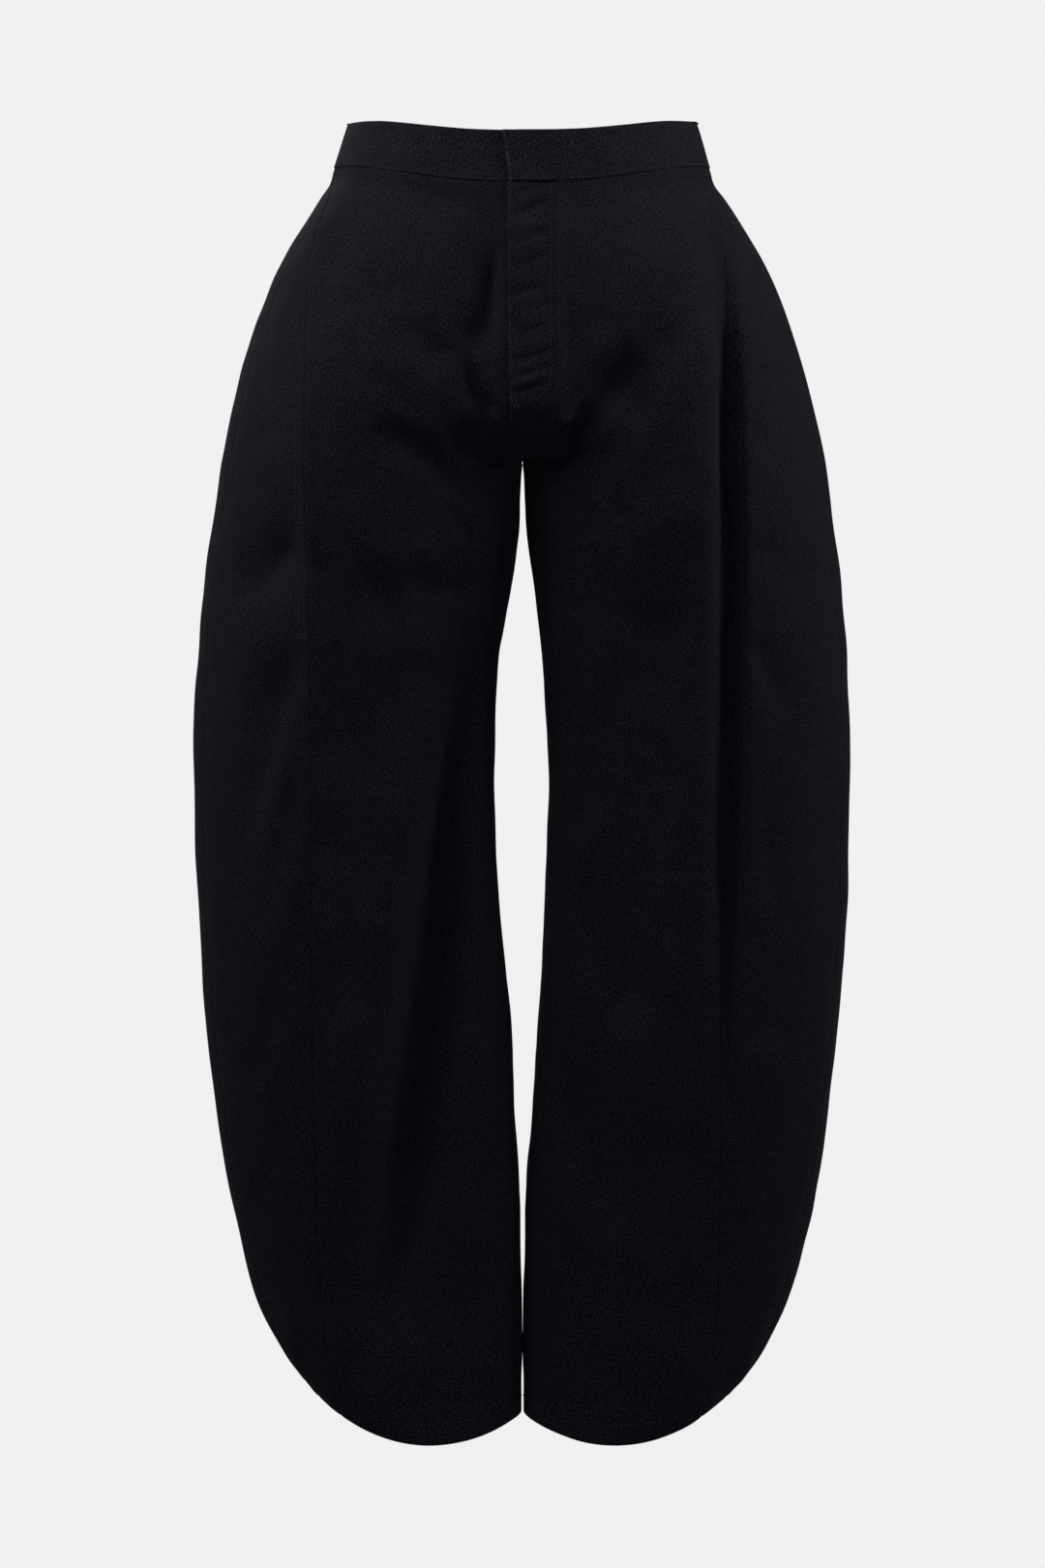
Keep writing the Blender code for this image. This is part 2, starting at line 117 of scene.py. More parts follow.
# Where the long front seams and the outseams run: the seam's distance from the middle on each side,
# and how far the outseam lies inside the outline
Seam = namedtuple("Seam", "down front_right front_left outseam_inset")
SEAMS = [
    Seam(37, 142.0, 142.8, 0.8),
    Seam(60, 148.2, 149.5, 3.0),
    Seam(90, 157.7, 154.5, 8.0),
    Seam(120, 164.7, 159.5, 8.0),
    Seam(160, 165.0, 161.0, 8.0),
    Seam(280, 164.7, 161.0, 8.0),
    Seam(370, 161.5, 161.0, 8.0),
    Seam(505, 161.0, 158.0, 8.0),
    Seam(680, 160.0, 152.0, 8.0),
    Seam(865, 156.0, 150.0, 8.0),
    Seam(940, 149.0, 145.0, 7.0),
    Seam(983, 140.0, 138.0, 6.0),
]

# How far down a row lies at the sides, for how far down it lies at the middle of the body or leg
RowSide = namedtuple("RowSide", "down side")
ROW_SIDES = [
    RowSide(37, 37), RowSide(198, 198), RowSide(214, 216), RowSide(228, 230), RowSide(240, 244),
    RowSide(256, 259), RowSide(261.5, 266), RowSide(266, 278), RowSide(278, 294), RowSide(306, 321),
    RowSide(348, 358), RowSide(403, 405), RowSide(435, 435), RowSide(983, 983),
]

# Folds of the cloth, each a curve through three places (across, down) with how wide it spreads, how much
# wider it is on the left of a fold that runs down than on its right (-1 to 1), and how deep it lies; a
# negative depth is a ridge
Fold = namedtuple("Fold", "x1 down1 x2 down2 x3 down3 width skew depth")


def fold_table(*rows):
    """Folds from rows of their values."""
    return [Fold(*row) for row in rows]


FRONT_FOLDS = fold_table(
    # Drag folds beside the fly and out of the crotch, wearer's right
    (-60, 192, -22, 174, -14, 80, 13, 0.3, 7), (-52, 175, -32, 222, -6, 249, 9, 0.2, 8),
    (-62, 248, -34, 256, -4, 264, 9, 0, 11), (-120, 244, -80, 244, -20, 314, 13, 0.2, 5.5),
    (-102, 156, -72, 182, -53, 202, 14, 0.2, 3.6), (-94, 368, -57, 358, -24, 374, 13, -0.2, 4),
    # Drag folds out of the crotch, wearer's left
    (92, 176, 49, 224, 10, 274, 13, -0.2, 12), (125, 149, 96, 196, 77, 272, 18, 0.3, 7),
    (54, 224, 32, 246, 14, 284, 9, 0, 9),
    # The pressed edge along the right seam, the deep fold and two slight ones along the left seam
    (-165, 118, -163, 340, -160, 600, 7, 0, -2.2), (154, 40, 172, 330, 152, 820, 9, 0.4, 23),
    (144, 64, 156, 130, 166, 230, 9, 0.3, 3), (136, 270, 137, 430, 133, 600, 10, 0, -2),
    # Side panels
    (-160, 322, -196, 346, -236, 384, 24, 0, 10), (-172, 400, -190, 456, -226, 600, 18, 0.2, 6.5),
    (170, 389, 186, 425, 204, 464, 10, 0, 4), (184, 699, 208, 702, 234, 709, 11, 0.2, 2),
    # Long troughs down the legs
    (-25, 345, -67, 640, -125, 1010, 21, -0.1, 31), (-30, 380, -50, 560, -76, 760, 10, 0, 6),
    (-66, 380, -108, 620, -150, 880, 20, 0, -5), (30, 556, 60, 630, 104, 708, 18, 0, 8),
    (30, 690, 54, 780, 80, 876, 19, 0, 8.5),
)
FRONT_CREASES = fold_table(
    # Broad, shallow hollows of the hips and thighs
    (-138, 118, -96, 150, -58, 142, 24, 0, 2.4), (-134, 336, -90, 346, -44, 336, 18, 0, -3),
    (-134, 420, -92, 392, -44, 410, 22, 0, -2.6), (50, 346, 96, 332, 140, 284, 22, 0, -3),
    (56, 452, 96, 428, 132, 356, 24, 0, 2.6), (52, 120, 96, 128, 136, 104, 24, 0, -2.2),
    # Short creases round the crotch and under the waistband
    (-98, 127, -101, 140, -99, 153, 4, 0, 1.1), (-106, 57, -66, 64, -28, 74, 7, 0, 1.1),
    (30, 62, 62, 58, 104, 54, 7, 0, 0.9), (-30, 262, -24, 292, -20, 330, 6, 0, 1.8),
    (-64, 296, -44, 318, -26, 344, 6, 0, 1.6), (12, 292, 16, 322, 20, 352, 6, 0, 1.6),
    (22, 226, 34, 246, 40, 276, 6, 0, 1.8), (-44, 202, -33, 226, -17, 236, 4, 0, 1.8),
    (-118, 196, -96, 214, -78, 240, 7, 0, 1.3), (60, 148, 44, 172, 32, 206, 8, 0, 1.4),
    (108, 236, 100, 268, 88, 306, 8, 0, 1.5),
    # Soft breaks down the thighs and shins
    (-122, 318, -104, 372, -96, 436, 12, 0, 1.5), (-92, 404, -70, 436, -40, 452, 9, 0, 1.6),
    (60, 372, 88, 402, 124, 412, 10, 0, 1.6), (36, 452, 58, 496, 66, 548, 11, 0, 1.4),
    (-132, 596, -118, 676, -116, 760, 13, 0, 1.6), (-66, 768, -82, 830, -90, 906, 12, 0, 1.8),
    (92, 742, 104, 812, 100, 892, 13, 0, 1.8), (118, 588, 126, 648, 122, 716, 10, 0, 1.5),
    (-52, 846, -46, 896, -54, 950, 10, 0, 1.4),
    # Side panels
    (-176, 322, -192, 352, -216, 374, 9, 0, 1.8), (-174, 232, -190, 238, -208, 262, 8, 0, 1.3),
    (-168, 480, -184, 560, -204, 640, 11, 0, 2.2), (-186, 664, -200, 716, -212, 760, 10, 0, 1.6),
    (176, 322, 196, 340, 218, 368, 9, 0, 1.6), (178, 512, 192, 572, 200, 648, 11, 0, 2),
    (172, 236, 188, 252, 206, 284, 8, 0, 1.4),
)
BACK_FOLDS = fold_table(
    # Under the seat
    (-20, 266, -80, 296, -152, 286, 13, 0.2, 6), (-22, 304, -70, 334, -122, 338, 11, 0, 4),
    (18, 270, 70, 303, 137, 297, 12, 0.2, 5.5), (24, 317, 76, 352, 132, 345, 12, 0, 4.5),
    # Long troughs down the thighs and calves
    (-152, 378, -138, 520, -120, 664, 20, 0.2, 7), (166, 362, 152, 500, 142, 642, 19, 0.2, 6),
    (-70, 704, -86, 800, -122, 906, 19, 0, 6), (80, 722, 70, 820, 86, 934, 21, 0, 5.5),
    # Behind the knees
    (-56, 602, -100, 624, -152, 608, 10, 0, 4), (50, 640, 100, 655, 162, 634, 10, 0, 4),
    # Beside the outseams
    (-196, 296, -214, 380, -224, 472, 12, 0, 4), (196, 262, 214, 336, 224, 428, 12, 0, 3.5),
)
BACK_CREASES = fold_table(
    # Under the waistband and over the seat
    (-112, 56, -70, 66, -24, 64, 8, 0, 1.3), (26, 66, 74, 68, 116, 54, 8, 0, 1.2),
    (-12, 232, -30, 256, -58, 270, 7, 0, 2), (12, 236, 32, 262, 62, 274, 7, 0, 1.9),
    (-150, 196, -120, 214, -88, 224, 11, 0, 1.6), (96, 206, 128, 212, 158, 198, 11, 0, 1.6),
    # Thighs, knees and calves
    (-34, 350, -60, 378, -96, 388, 9, 0, 1.9), (38, 364, 70, 390, 104, 392, 9, 0, 1.8),
    (-60, 440, -84, 470, -112, 474, 10, 0, 1.6), (56, 470, 80, 500, 108, 506, 10, 0, 1.6),
    (-64, 560, -104, 576, -146, 566, 8, 0, 2), (62, 596, 104, 610, 150, 596, 8, 0, 2),
    (-58, 644, -96, 668, -138, 656, 9, 0, 1.9), (56, 682, 98, 700, 140, 684, 9, 0, 1.8),
    (-150, 720, -140, 800, -132, 880, 12, 0, 1.9), (140, 716, 136, 800, 126, 888, 12, 0, 1.9),
    (-196, 520, -206, 600, -200, 690, 12, 0, 2.2), (198, 500, 208, 590, 202, 700, 12, 0, 2.2),
    (-48, 830, -56, 890, -60, 944, 10, 0, 1.5), (44, 838, 48, 890, 44, 946, 10, 0, 1.5),
)
# Puckers across the fly, which lie over its hidden buttons and between its rows of stitches
FLY_PUCKERS = fold_table(
    (-14, 56, 6, 53, 26, 44, 3.2, 0.3, 0.9), (-10, 66, 9, 64, 30, 55, 3.6, -0.2, 1.1),
    (-16, 84, 5, 79, 29, 66, 3.4, 0.3, 1.4), (-6, 92, 8, 92, 24, 87, 3, 0, -0.6),
    (-12, 105, 5, 101, 30, 92, 4.2, -0.3, 0.9), (-8, 124, 10, 118, 26, 107, 3.4, 0.2, 0.9),
    (-14, 143, 2, 142, 22, 134, 3.8, 0, 1.2), (-4, 158, 9, 152, 28, 147, 3, 0, 0.7),
    (-12, 172, 2, 173, 24, 163, 3.6, 0.3, 0.9), (-14, 194, 6, 192, 30, 180, 3.4, 0.2, 1.3),
    (-8, 205, 8, 204, 28, 193, 2.8, -0.2, 1.2), (-12, 212, 4, 211, 24, 201, 2.2, 0, -0.8),
    (-12, 219, 5, 215, 22, 206, 2.4, 0, 1.2),
)
FOLD_SAMPLES = 17
FOLD_END = 0.36
FOLD_REACH = 3.2

# The lap at the middle front: the left side lies over the right one, which reaches on below it
Lap = namedtuple("Lap", "down edge")
FLY_EDGE = [Lap(37, 12.0), Lap(235, 10.0), Lap(251, 6.0), Lap(265, -SEAM_GAP / 2), Lap(983, -SEAM_GAP / 2)]
UNDERLAP = 24.0
UNDERLAP_TOP = 214.0
UNDERLAP_FOOT = 234.0
BAND_LAP_TOP = 15.1
BAND_LAP_FOOT = 9.3
LAP_LIFT = 2.2
LAP_FULL = 26.0
LAP_FLAT = 36.0
FLY_FOOT = 238.0
FLY_FLAT = 250.0
FLY_STIFF = 26.0
FLY_SOFTEN = 12.0
UNDERLAP_SINK = 1.2
UNDERLAP_SINK_WIDTH = 8.0
BAND_LAP_FULL = 28.0
BAND_LAP_FLAT = 46.0

# How much edges are rubbed and how far in, and how the lap's rubbing comes and goes down its edge
Rub = namedtuple("Rub", "amount width")
FLY_RUB = Rub(0.03, 1.3)
SEAM_RUB = Rub(0.03, 1.2)
OUTSEAM_RUB = Rub(0.03, 1.5)
HEM_RUB = Rub(0.04, 1.3)
BAND_TOP_RUB = Rub(0.05, 1.6)
BAND_FOOT_RUB = Rub(0.03, 1.4)
LAP_RUB = Rub(0.6, 1.1)
LAP_RUB_SWING = 0.4
LAP_RUB_TURNS = 12.0

# In-seam pocket mouths on the long front seams
POCKET_TOP = 236.0
POCKET_FOOT = 401.0
POCKET_OPEN = 0.5
POCKET_EASE = 14.0
POCKET_FRONT_SPREAD = 7.0
POCKET_SIDE_SPREAD = 5.0

# Rows and columns close beside an edge, so that it can turn over roundly
EDGE_STEPS = np.array([0, 0.25, 0.6, 1.1, 1.8, 2.8, 4.2, 6.2])
EDGE_ROOM = 2.4
EDGE_FLATNESS = 0.92
VALLEY_DEPTH = 0.3
VALLEY_WIDTH = 2.2
ALLOWANCE_RIDGE = 0.5
ALLOWANCE_WIDTH = 9.0
PUCKER_DEPTH = 0.22
PUCKER_LENGTH = 9.0
PUCKER_REACH = 5.0
PUCKER_SWELL = 0.6
PUCKER_SWELL_RUN = 4.3
PUCKER_DRIFT = 1.8
PUCKER_DRIFT_RUN = 2.7
LENGTH_SAMPLES = 400
CURVE_SAMPLES = 4000
STEP = 1e-4

# Size of a mesh cell across and down each kind of panel
FRONT_CELL = 2.7
SIDE_CELL = 2.5
BACK_CELL = 3.8
BAND_CELL = 2.2
BODY_ROW = 2.0
LEG_ROW = 3.2

# How far out from the middle a thread of the warp runs straight down
GRAIN_OUT = 100.0

# The cut of each panel laid flat, in metres: width, length and area
Cut = namedtuple("Cut", "width length area")

# The cloth's slack unevenness: how many waves it has, from how short to how long, and how they lie
RIPPLE_WAVES = 22
RIPPLE_LENGTHS = (26.0, 95.0)
RIPPLE_STRETCH = (1.0, 1.0, 0.6)
RIPPLE_SEED = 11

# Unevenness of the finishes: how fine it is, its detail and roughness, and how much it tells
Uneven = namedtuple("Uneven", "scale detail roughness tone")
FLECK = Uneven(900.0, 1.0, 0.5, 3.8)
WARP = Uneven(760.0, 1.0, 0.5, 1.0)
CLOUD = Uneven(22.0, 3.0, 0.6, 0.24)
PATCH = Uneven(95.0, 2.0, 0.5, 0.24)
WALE_WANDER = Uneven(260.0, 2.0, 0.5, 3.0)
TWIST = Uneven(240.0, 2.0, 0.5, 1.2)
WARP_STRETCH = (1.0, 0.3, 1.0)
WALE_TONE = 0.08
WEAR_START = 0.55
WEAR_FLECK = 1.4
WEAR_PATCH = 1.2
WALE_RELIEF = 0.5
FLECK_RELIEF = 1.3
WARP_RELIEF = 0.5
RELIEF_STRENGTH = 0.5
RELIEF_DEPTH = 0.00022
CLOTH_SPECULAR = 0.04
THREAD_SPECULAR = 0.2
THREAD_ROUGHNESS = 0.7
SHEEN_ROUGHNESS = 0.5
SHEEN_TINT = (0.60, 0.57, 0.72, 1)
YARN_SHADES = (0.1, 1.9)
THREAD_SHADES = (0.4, 1.6)
BAND_LIGHTNESS = 1.12

# A stitch: a bead drawn long, a little flat and a little uneven
BEAD_SIDES = 6
BEAD_RINGS = 4
THREAD_FLATNESS = 0.8
SMALLEST_STITCH = (0.85, 0.85, 0.8)
LARGEST_STITCH = (1.15, 1.15, 1.1)

# Rows of sewing
ROW_STEP = 1.0
ROW_TOP = 40.0
CENTRE_ROW_FOOT = 246.0
THREAD_PROUD = 0.12
FLY_EDGE_INSET = 1.7
FLY_ROW_END = -8.8
FlyRow = namedtuple("FlyRow", "x turn foot")
FLY_ROWS = [FlyRow(21.3, 203, 226.5), FlyRow(27.9, 199, 234.5)]
SWEEP_STEPS = 40
Tack = namedtuple("Tack", "x down tilt length width")
FLY_TACK = Tack(-5.8, 224.5, 0.35, 9.0, 2.6)
TACK_SPACING = 0.7
POCKET_ROW_TOP = POCKET_TOP + 4
POCKET_ROW_INSETS = (4.2, 8.4)
POCKET_TACK_INSETS = np.linspace(2.0, 10.0, 11)
POCKET_TACK_DOWN = np.array([-1.2, 0, 1.2])
BAND_ROW_INSET = 1.9
BAND_ROW_POINTS = 420
BAND_END_ROW = (BAND_FOOT - 2, BAND_TOP + 3)
BAND_ROW_STARTS = {LEFT: BAND_LAP_FOOT - 1.5, RIGHT: -BAND_LAP_FOOT - 1.0}
HEM_ROW_RISE = 0.6
HEM_ROW_POINTS = 620
HEM_ROW_START = 0.02
CENTRE_ROW_INSET = 2.0

# The stage: its lights, with the setting that gives each its power, and its camera
Light = namedtuple("Light", "name place aim width height setting share tint")
WHITE = (1, 1, 1)
LIGHTS = [
    Light("front_light", (-0.65, -0.75, 1.2), (-0.1, 0, 0.1), 1.2, 0.6, "key", 1, WHITE),
    Light("fill_light", (0.9, -3.1, -0.8), (0, 0, -0.6), 2.4, 1.6, "fill", 1, (0.76, 0.71, 1.05)),
    Light("right_edge_light", (-1.1, -0.35, 0.7), (-0.1, 0, -0.25), 0.5, 0.7, "rim", 1, WHITE),
    Light("left_edge_light", (1.1, -0.35, 0.7), (0.1, 0, -0.25), 0.5, 0.7, "rim", 1.25, WHITE),
    Light("back_light", (-0.5, 1.7, 1.5), (0, 0, -0.4), 1.4, 0.9, "back", 1, WHITE),
]
AIR_TINT = (0.80, 0.68, 1.3)
FLOOR_REACH = 30.0
FLOOR_GLOW = 0.993
FLOOR_TONE = (0.3, 0.3, 0.3, 1)
CAMERA_DISTANCE = 4.5
CAMERA_LEVEL = -0.513
FIELD_HEIGHT = 1.215
SENSOR_HEIGHT = 24.0


class TrousersCloth(bpy.types.PropertyGroup):
    """Sizes and colours of the cloth."""

    colour: FloatVectorProperty(
        name="Cloth colour", description="Colour of the black twill", subtype="COLOR", size=3,
        min=0, max=1, default=(0.0114, 0.0105, 0.0139))
    worn_colour: FloatVectorProperty(
        name="Worn colour", description="Colour where edges are rubbed", subtype="COLOR", size=3,
        min=0, max=1, default=(0.085, 0.081, 0.091))
    thickness: FloatProperty(
        name="Cloth thickness", description="Thickness of one layer of cloth", unit="LENGTH",
        default=0.0011, min=0.0004, max=0.0015, precision=4)
    crease: FloatProperty(
        name="Creases", description="How deep the small creases lie", subtype="FACTOR",
        default=1.0, min=0, max=2)
    ripple: FloatProperty(
        name="Ripple", description="Height of the slack unevenness all over the cloth", unit="LENGTH",
        default=0.0007, min=0, max=0.002, precision=5)
    wale: FloatProperty(
        name="Wale", description="Distance from one diagonal line of the twill to the next", unit="LENGTH",
        default=0.0013, min=0.0005, max=0.004, precision=4)
    roughness: FloatProperty(
        name="Roughness", description="Roughness of the cloth", subtype="FACTOR",
        default=0.78, min=0, max=1)
    sheen: FloatProperty(
        name="Sheen", description="Light caught by the fibres at the outline", subtype="FACTOR",
        default=0.045, min=0, max=1)


class TrousersThread(bpy.types.PropertyGroup):
    """Sizes and colour of the sewing thread."""

    colour: FloatVectorProperty(
        name="Thread colour", description="Colour of the sewing thread", subtype="COLOR", size=3,
        min=0, max=1, default=(0.025, 0.024, 0.029))
    pitch: FloatProperty(
        name="Stitch pitch", description="Distance from one stitch to the next", unit="LENGTH",
        default=0.0034, min=0.001, max=0.01, precision=4)
    length: FloatProperty(
        name="Stitch length", description="Visible length of a stitch", unit="LENGTH",
        default=0.0019, min=0.0005, max=0.01, precision=4)
    width: FloatProperty(
        name="Thread width", description="Thickness of the thread", unit="LENGTH",
        default=0.0007, min=0.0001, max=0.002, precision=4)
    seed: IntProperty(
        name="Seed", description="Picks the unevenness of the stitches", default=7, min=0)


class TrousersStage(bpy.types.PropertyGroup):
    """Ground and light."""

    ground: FloatVectorProperty(
        name="Ground colour", description="Tone of the floor and of the air behind", subtype="COLOR",
        size=3, min=0, max=1, default=(0.879, 0.879, 0.879))
    drop: FloatProperty(
        name="Floor level", description="How far the floor lies below the waist", unit="LENGTH",
        default=1.16, min=1.02, max=3)
    key: FloatProperty(
        name="Main light", description="Power of the soft light above the front", unit="POWER",
        default=8.8, min=0)
    fill: FloatProperty(
        name="Fill light", description="Power of the wide light from the front", unit="POWER",
        default=21.5, min=0)
    rim: FloatProperty(
        name="Side lights", description="Power of each soft light beside the outline", unit="POWER",
        default=10.0, min=0)
    back: FloatProperty(
        name="Back light", description="Power of the soft light above the back", unit="POWER",
        default=26.0, min=0)
    air: FloatProperty(
        name="Surrounding light", description="Strength of the even light from all round", default=0.02,
        min=0, max=2)


def read_table(table, column, down):
    """A smooth curve through one column of a table, with no overshoot between its rows."""
    levels = np.array([row.down for row in table], float)
    values = np.array([getattr(row, column) for row in table], float)
    spans = np.diff(levels)
    slopes = np.diff(values) / spans
    tangents = np.zeros(len(values))
    tangents[0] = slopes[0]
    tangents[-1] = slopes[-1]
    for i in range(1, len(values) - 1):
        if slopes[i - 1] * slopes[i] > 0:
            tangents[i] = 2 * slopes[i - 1] * slopes[i] / (slopes[i - 1] + slopes[i])
    i = np.clip(np.searchsorted(levels, down) - 1, 0, len(spans) - 1)
    t = np.clip((down - levels[i]) / spans[i], 0, 1)
    rise = values[i + 1] - values[i]
    return (values[i] + t * spans[i] * tangents[i]
            + t * t * (3 * rise - spans[i] * (2 * tangents[i] + tangents[i + 1]))
            + t * t * t * (spans[i] * (tangents[i] + tangents[i + 1]) - 2 * rise))


def ease(value, start, end):
    """Rise smoothly from 0 at start to 1 at end."""
    t = np.clip((value - start) / (end - start), 0, 1)
    return t * t * (3 - 2 * t)


def fade(distance, width):
    """1 at a line, fading to 0 beside it."""
    return np.exp(-(distance / width) ** 2)


def oval(side, down):
    """The crest of the oval at a level and its half widths inwards and outwards from there."""
    outer = read_table(SECTIONS, "outer", down)
    inner = read_table(SECTIONS, "inner_right" if side == RIGHT else "inner_left", down)
    crest = read_table(SECTIONS, "crest", down)
    climb = np.clip((CROTCH - down) / CROTCH_CLIMB, 0, 1)
    climb = climb ** 2 * (1 + CROTCH_SOFTNESS) / (climb + CROTCH_SOFTNESS)
    lean = np.maximum((1 - climb) ** CROTCH_POWER, FRONT_LEAN)
    return crest, crest / lean - inner, outer - crest


def angle_at(side, out, down):
    """The angle round the oval at which its front lies a given distance out from the middle."""
    crest, inward, outwards = oval(side, down)
    half = np.where(out < crest, inward, outwards)
    return np.arccos(np.clip((crest - out) / half, -1, 1))


def front_angle(side, out, down):
    """The same, also for places past the body's middle, where the distance out is negative."""
    turned = angle_at(side, np.abs(out), down)
    return np.where(out < 0, 2 * angle_at(side, 0, down) - turned, turned)


def bare_form(side, angle, down):
    """Points of the form without folds. The angle is 0 inside the leg, pi outside, and goes on behind.

    Above the crotch, angles past the body's middle give points of the other side, mirrored.
    """
    crest, inward, outwards = oval(side, down)
    middle_angle = np.where(down < CROTCH, np.arccos(np.clip(crest / inward, -1, 1)), 0)
    beyond_front = (angle < middle_angle) & (down < CROTCH)
    beyond_back = (angle > 2 * np.pi - middle_angle) & (down < CROTCH)
    turned = np.where(beyond_front, 2 * middle_angle - angle, angle)
    turned = np.where(beyond_back, 4 * np.pi - 2 * middle_angle - angle, turned)
    cosine = np.cos(turned)
    sine = np.sin(turned)
    out = crest - np.where(cosine > 0, inward, outwards) * cosine
    out = np.where(beyond_front | beyond_back, -out, out)
    pinch = INNER_PINCH + (OUTER_PINCH - INNER_PINCH) * (1 - cosine) / 2
    depth = np.where(sine < 0, read_table(SECTIONS, "back", down), -read_table(SECTIONS, "front", down))
    dip = np.where(sine < 0, read_table(SECTIONS, "back_dip", down), read_table(SECTIONS, "dip", down))
    dip_power = np.where(down < CROTCH, BODY_DIP_POWER, LEG_DIP_POWER)
    sink = dip * np.abs(sine) ** dip_power + read_table(SECTIONS, "inner_dip", down) * (1 + cosine) / 2
    return np.stack([side * out, depth * np.abs(sine) ** pinch, -(down + sink)], axis=-1)


def unit(vectors):
    """Vectors of length 1."""
    return vectors / np.linalg.norm(vectors, axis=-1, keepdims=True)


def outward(points_at, side, angle, down):
    """The outward normals of a surface that is given as a function of angle and level."""
    along = points_at(side, angle + STEP, down) - points_at(side, angle - STEP, down)
    below = points_at(side, angle, down + STEP) - points_at(side, angle, down - STEP)
    return unit(np.cross(along, below) * -side)


def fold_depth(folds, x, down):
    """How deep a set of folds lies at places given across and down."""
    total = np.zeros(x.shape)
    for fold in folds:
        t = np.linspace(0, 1, FOLD_SAMPLES)
        path_x = (1 - t) ** 2 * fold.x1 + 2 * t * (1 - t) * fold.x2 + t * t * fold.x3
        path_down = (1 - t) ** 2 * fold.down1 + 2 * t * (1 - t) * fold.down2 + t * t * fold.down3
        reach = fold.width * (1 + abs(fold.skew)) * FOLD_REACH
        close = ((x > path_x.min() - reach) & (x < path_x.max() + reach)
                 & (down > path_down.min() - reach) & (down < path_down.max() + reach))
        near_x = x[close]
        near_down = down[close]
        nearest = np.full(near_x.shape, np.inf)
        place = np.zeros(near_x.shape)
        to_left = np.zeros(near_x.shape)
        for i in range(FOLD_SAMPLES - 1):
            run_x = path_x[i + 1] - path_x[i]
            run_down = path_down[i + 1] - path_down[i]
            off_x = near_x - path_x[i]
            off_down = near_down - path_down[i]
            part = np.clip((off_x * run_x + off_down * run_down) / (run_x ** 2 + run_down ** 2), 0, 1)
            gap = np.hypot(off_x - part * run_x, off_down - part * run_down)
            closer = gap < nearest
            place = np.where(closer, (i + part) / (FOLD_SAMPLES - 1), place)
            to_left = np.where(closer, np.sign(run_x * off_down - run_down * off_x), to_left)
            nearest = np.where(closer, gap, nearest)
        ends = ease(place, 0, FOLD_END) * ease(1 - place, 0, FOLD_END)
        total[close] += fold.depth * ends * fade(nearest, fold.width * (1 + fold.skew * to_left))
    return total


def fly_softness(x, down):
    """How freely the front folds: not at all over the fly, whose layers hold it flat."""
    stiff = ease(x, -FLY_STIFF, -FLY_STIFF / 2)
    stiff = stiff * (1 - ease(x, LAP_FLAT - FLY_SOFTEN, LAP_FLAT + FLY_SOFTEN))
    return 1 - stiff * on_fly(down)


def on_fly(down):
    """1 beside the fly, 0 below it."""
    return 1 - ease(down, FLY_FOOT, FLY_FLAT)


def ripple_waves():
    """Headings, lengths and starts of the waves that make the cloth's slack unevenness."""
    random = np.random.default_rng(RIPPLE_SEED)
    headings = unit(random.normal(size=(RIPPLE_WAVES, 3)) * RIPPLE_STRETCH)
    lengths = np.geomspace(*RIPPLE_LENGTHS, RIPPLE_WAVES)
    return headings / lengths[:, None], lengths / lengths.max(), random.uniform(0, 1, RIPPLE_WAVES)


WAVES = ripple_waves()


def slack(points):
    """Unevenness of the cloth at places on the form, about -1 to 1."""
    total = np.zeros(points.shape[:-1])
    for heading, height, start in zip(*WAVES):
        total += height * np.sin(2 * np.pi * (points @ heading + start))
    return total / math.sqrt(RIPPLE_WAVES / 4)


def folded_form(side, angle, down):
    """Points of the form with its folds and creases, which fade out towards the outline."""
    cloth = bpy.context.scene.trousers_cloth
    points = bare_form(side, angle, down)
    normals = outward(bare_form, side, angle, down)
    x = points[..., 0]
    level = -points[..., 2]
    front = fold_depth(FRONT_FOLDS, x, level) + cloth.crease * fold_depth(FRONT_CREASES, x, level)
    back = fold_depth(BACK_FOLDS, x, level) + cloth.crease * fold_depth(BACK_CREASES, x, level)
    depth = np.where(normals[..., 1] < 0, front * fly_softness(x, level), back) * np.abs(normals[..., 1])
    return points - normals * (depth - slack(points) * cloth.ripple / MM)[..., None]


def edge_turn(distance, thickness):
    """How far each face of a cloth draws in beside its edge, which turns over roundly."""
    radius = thickness / 2
    inside = np.clip(radius - distance, 0, radius)
    return EDGE_FLATNESS * (radius - np.sqrt(radius ** 2 - inside ** 2))


def valley(distance):
    """The dip that a seam pulls into the cloth on both sides of it."""
    return -VALLEY_DEPTH * fade(distance, VALLEY_WIDTH)


def seam_ridge(distance):
    """How far the seam allowances under the waistband push the panels out."""
    return ALLOWANCE_RIDGE * fade(distance, ALLOWANCE_WIDTH)


def pucker(distance, along):
    """Small puckers along a sewn edge."""
    turn = 2 * np.pi * along / PUCKER_LENGTH
    swell = 1 + PUCKER_SWELL * np.sin(turn / PUCKER_SWELL_RUN)
    wave = np.sin(turn + PUCKER_DRIFT * np.sin(turn / PUCKER_DRIFT_RUN))
    return PUCKER_DEPTH * swell * wave * fade(distance, PUCKER_REACH)


def hem_pucker(grid):
    """The puckers that the hem's row of sewing pulls."""
    return pucker(grid.from_foot - HEM_DEPTH, grid.along) * (grid.from_foot < HEM_DEPTH * 2)


def rubbed(distance, rub):
    """How much the cloth is rubbed at a distance from an edge."""
    return rub.amount * fade(distance, rub.width)


Grid = namedtuple("Grid", "angle down from_start from_end from_top from_foot along")


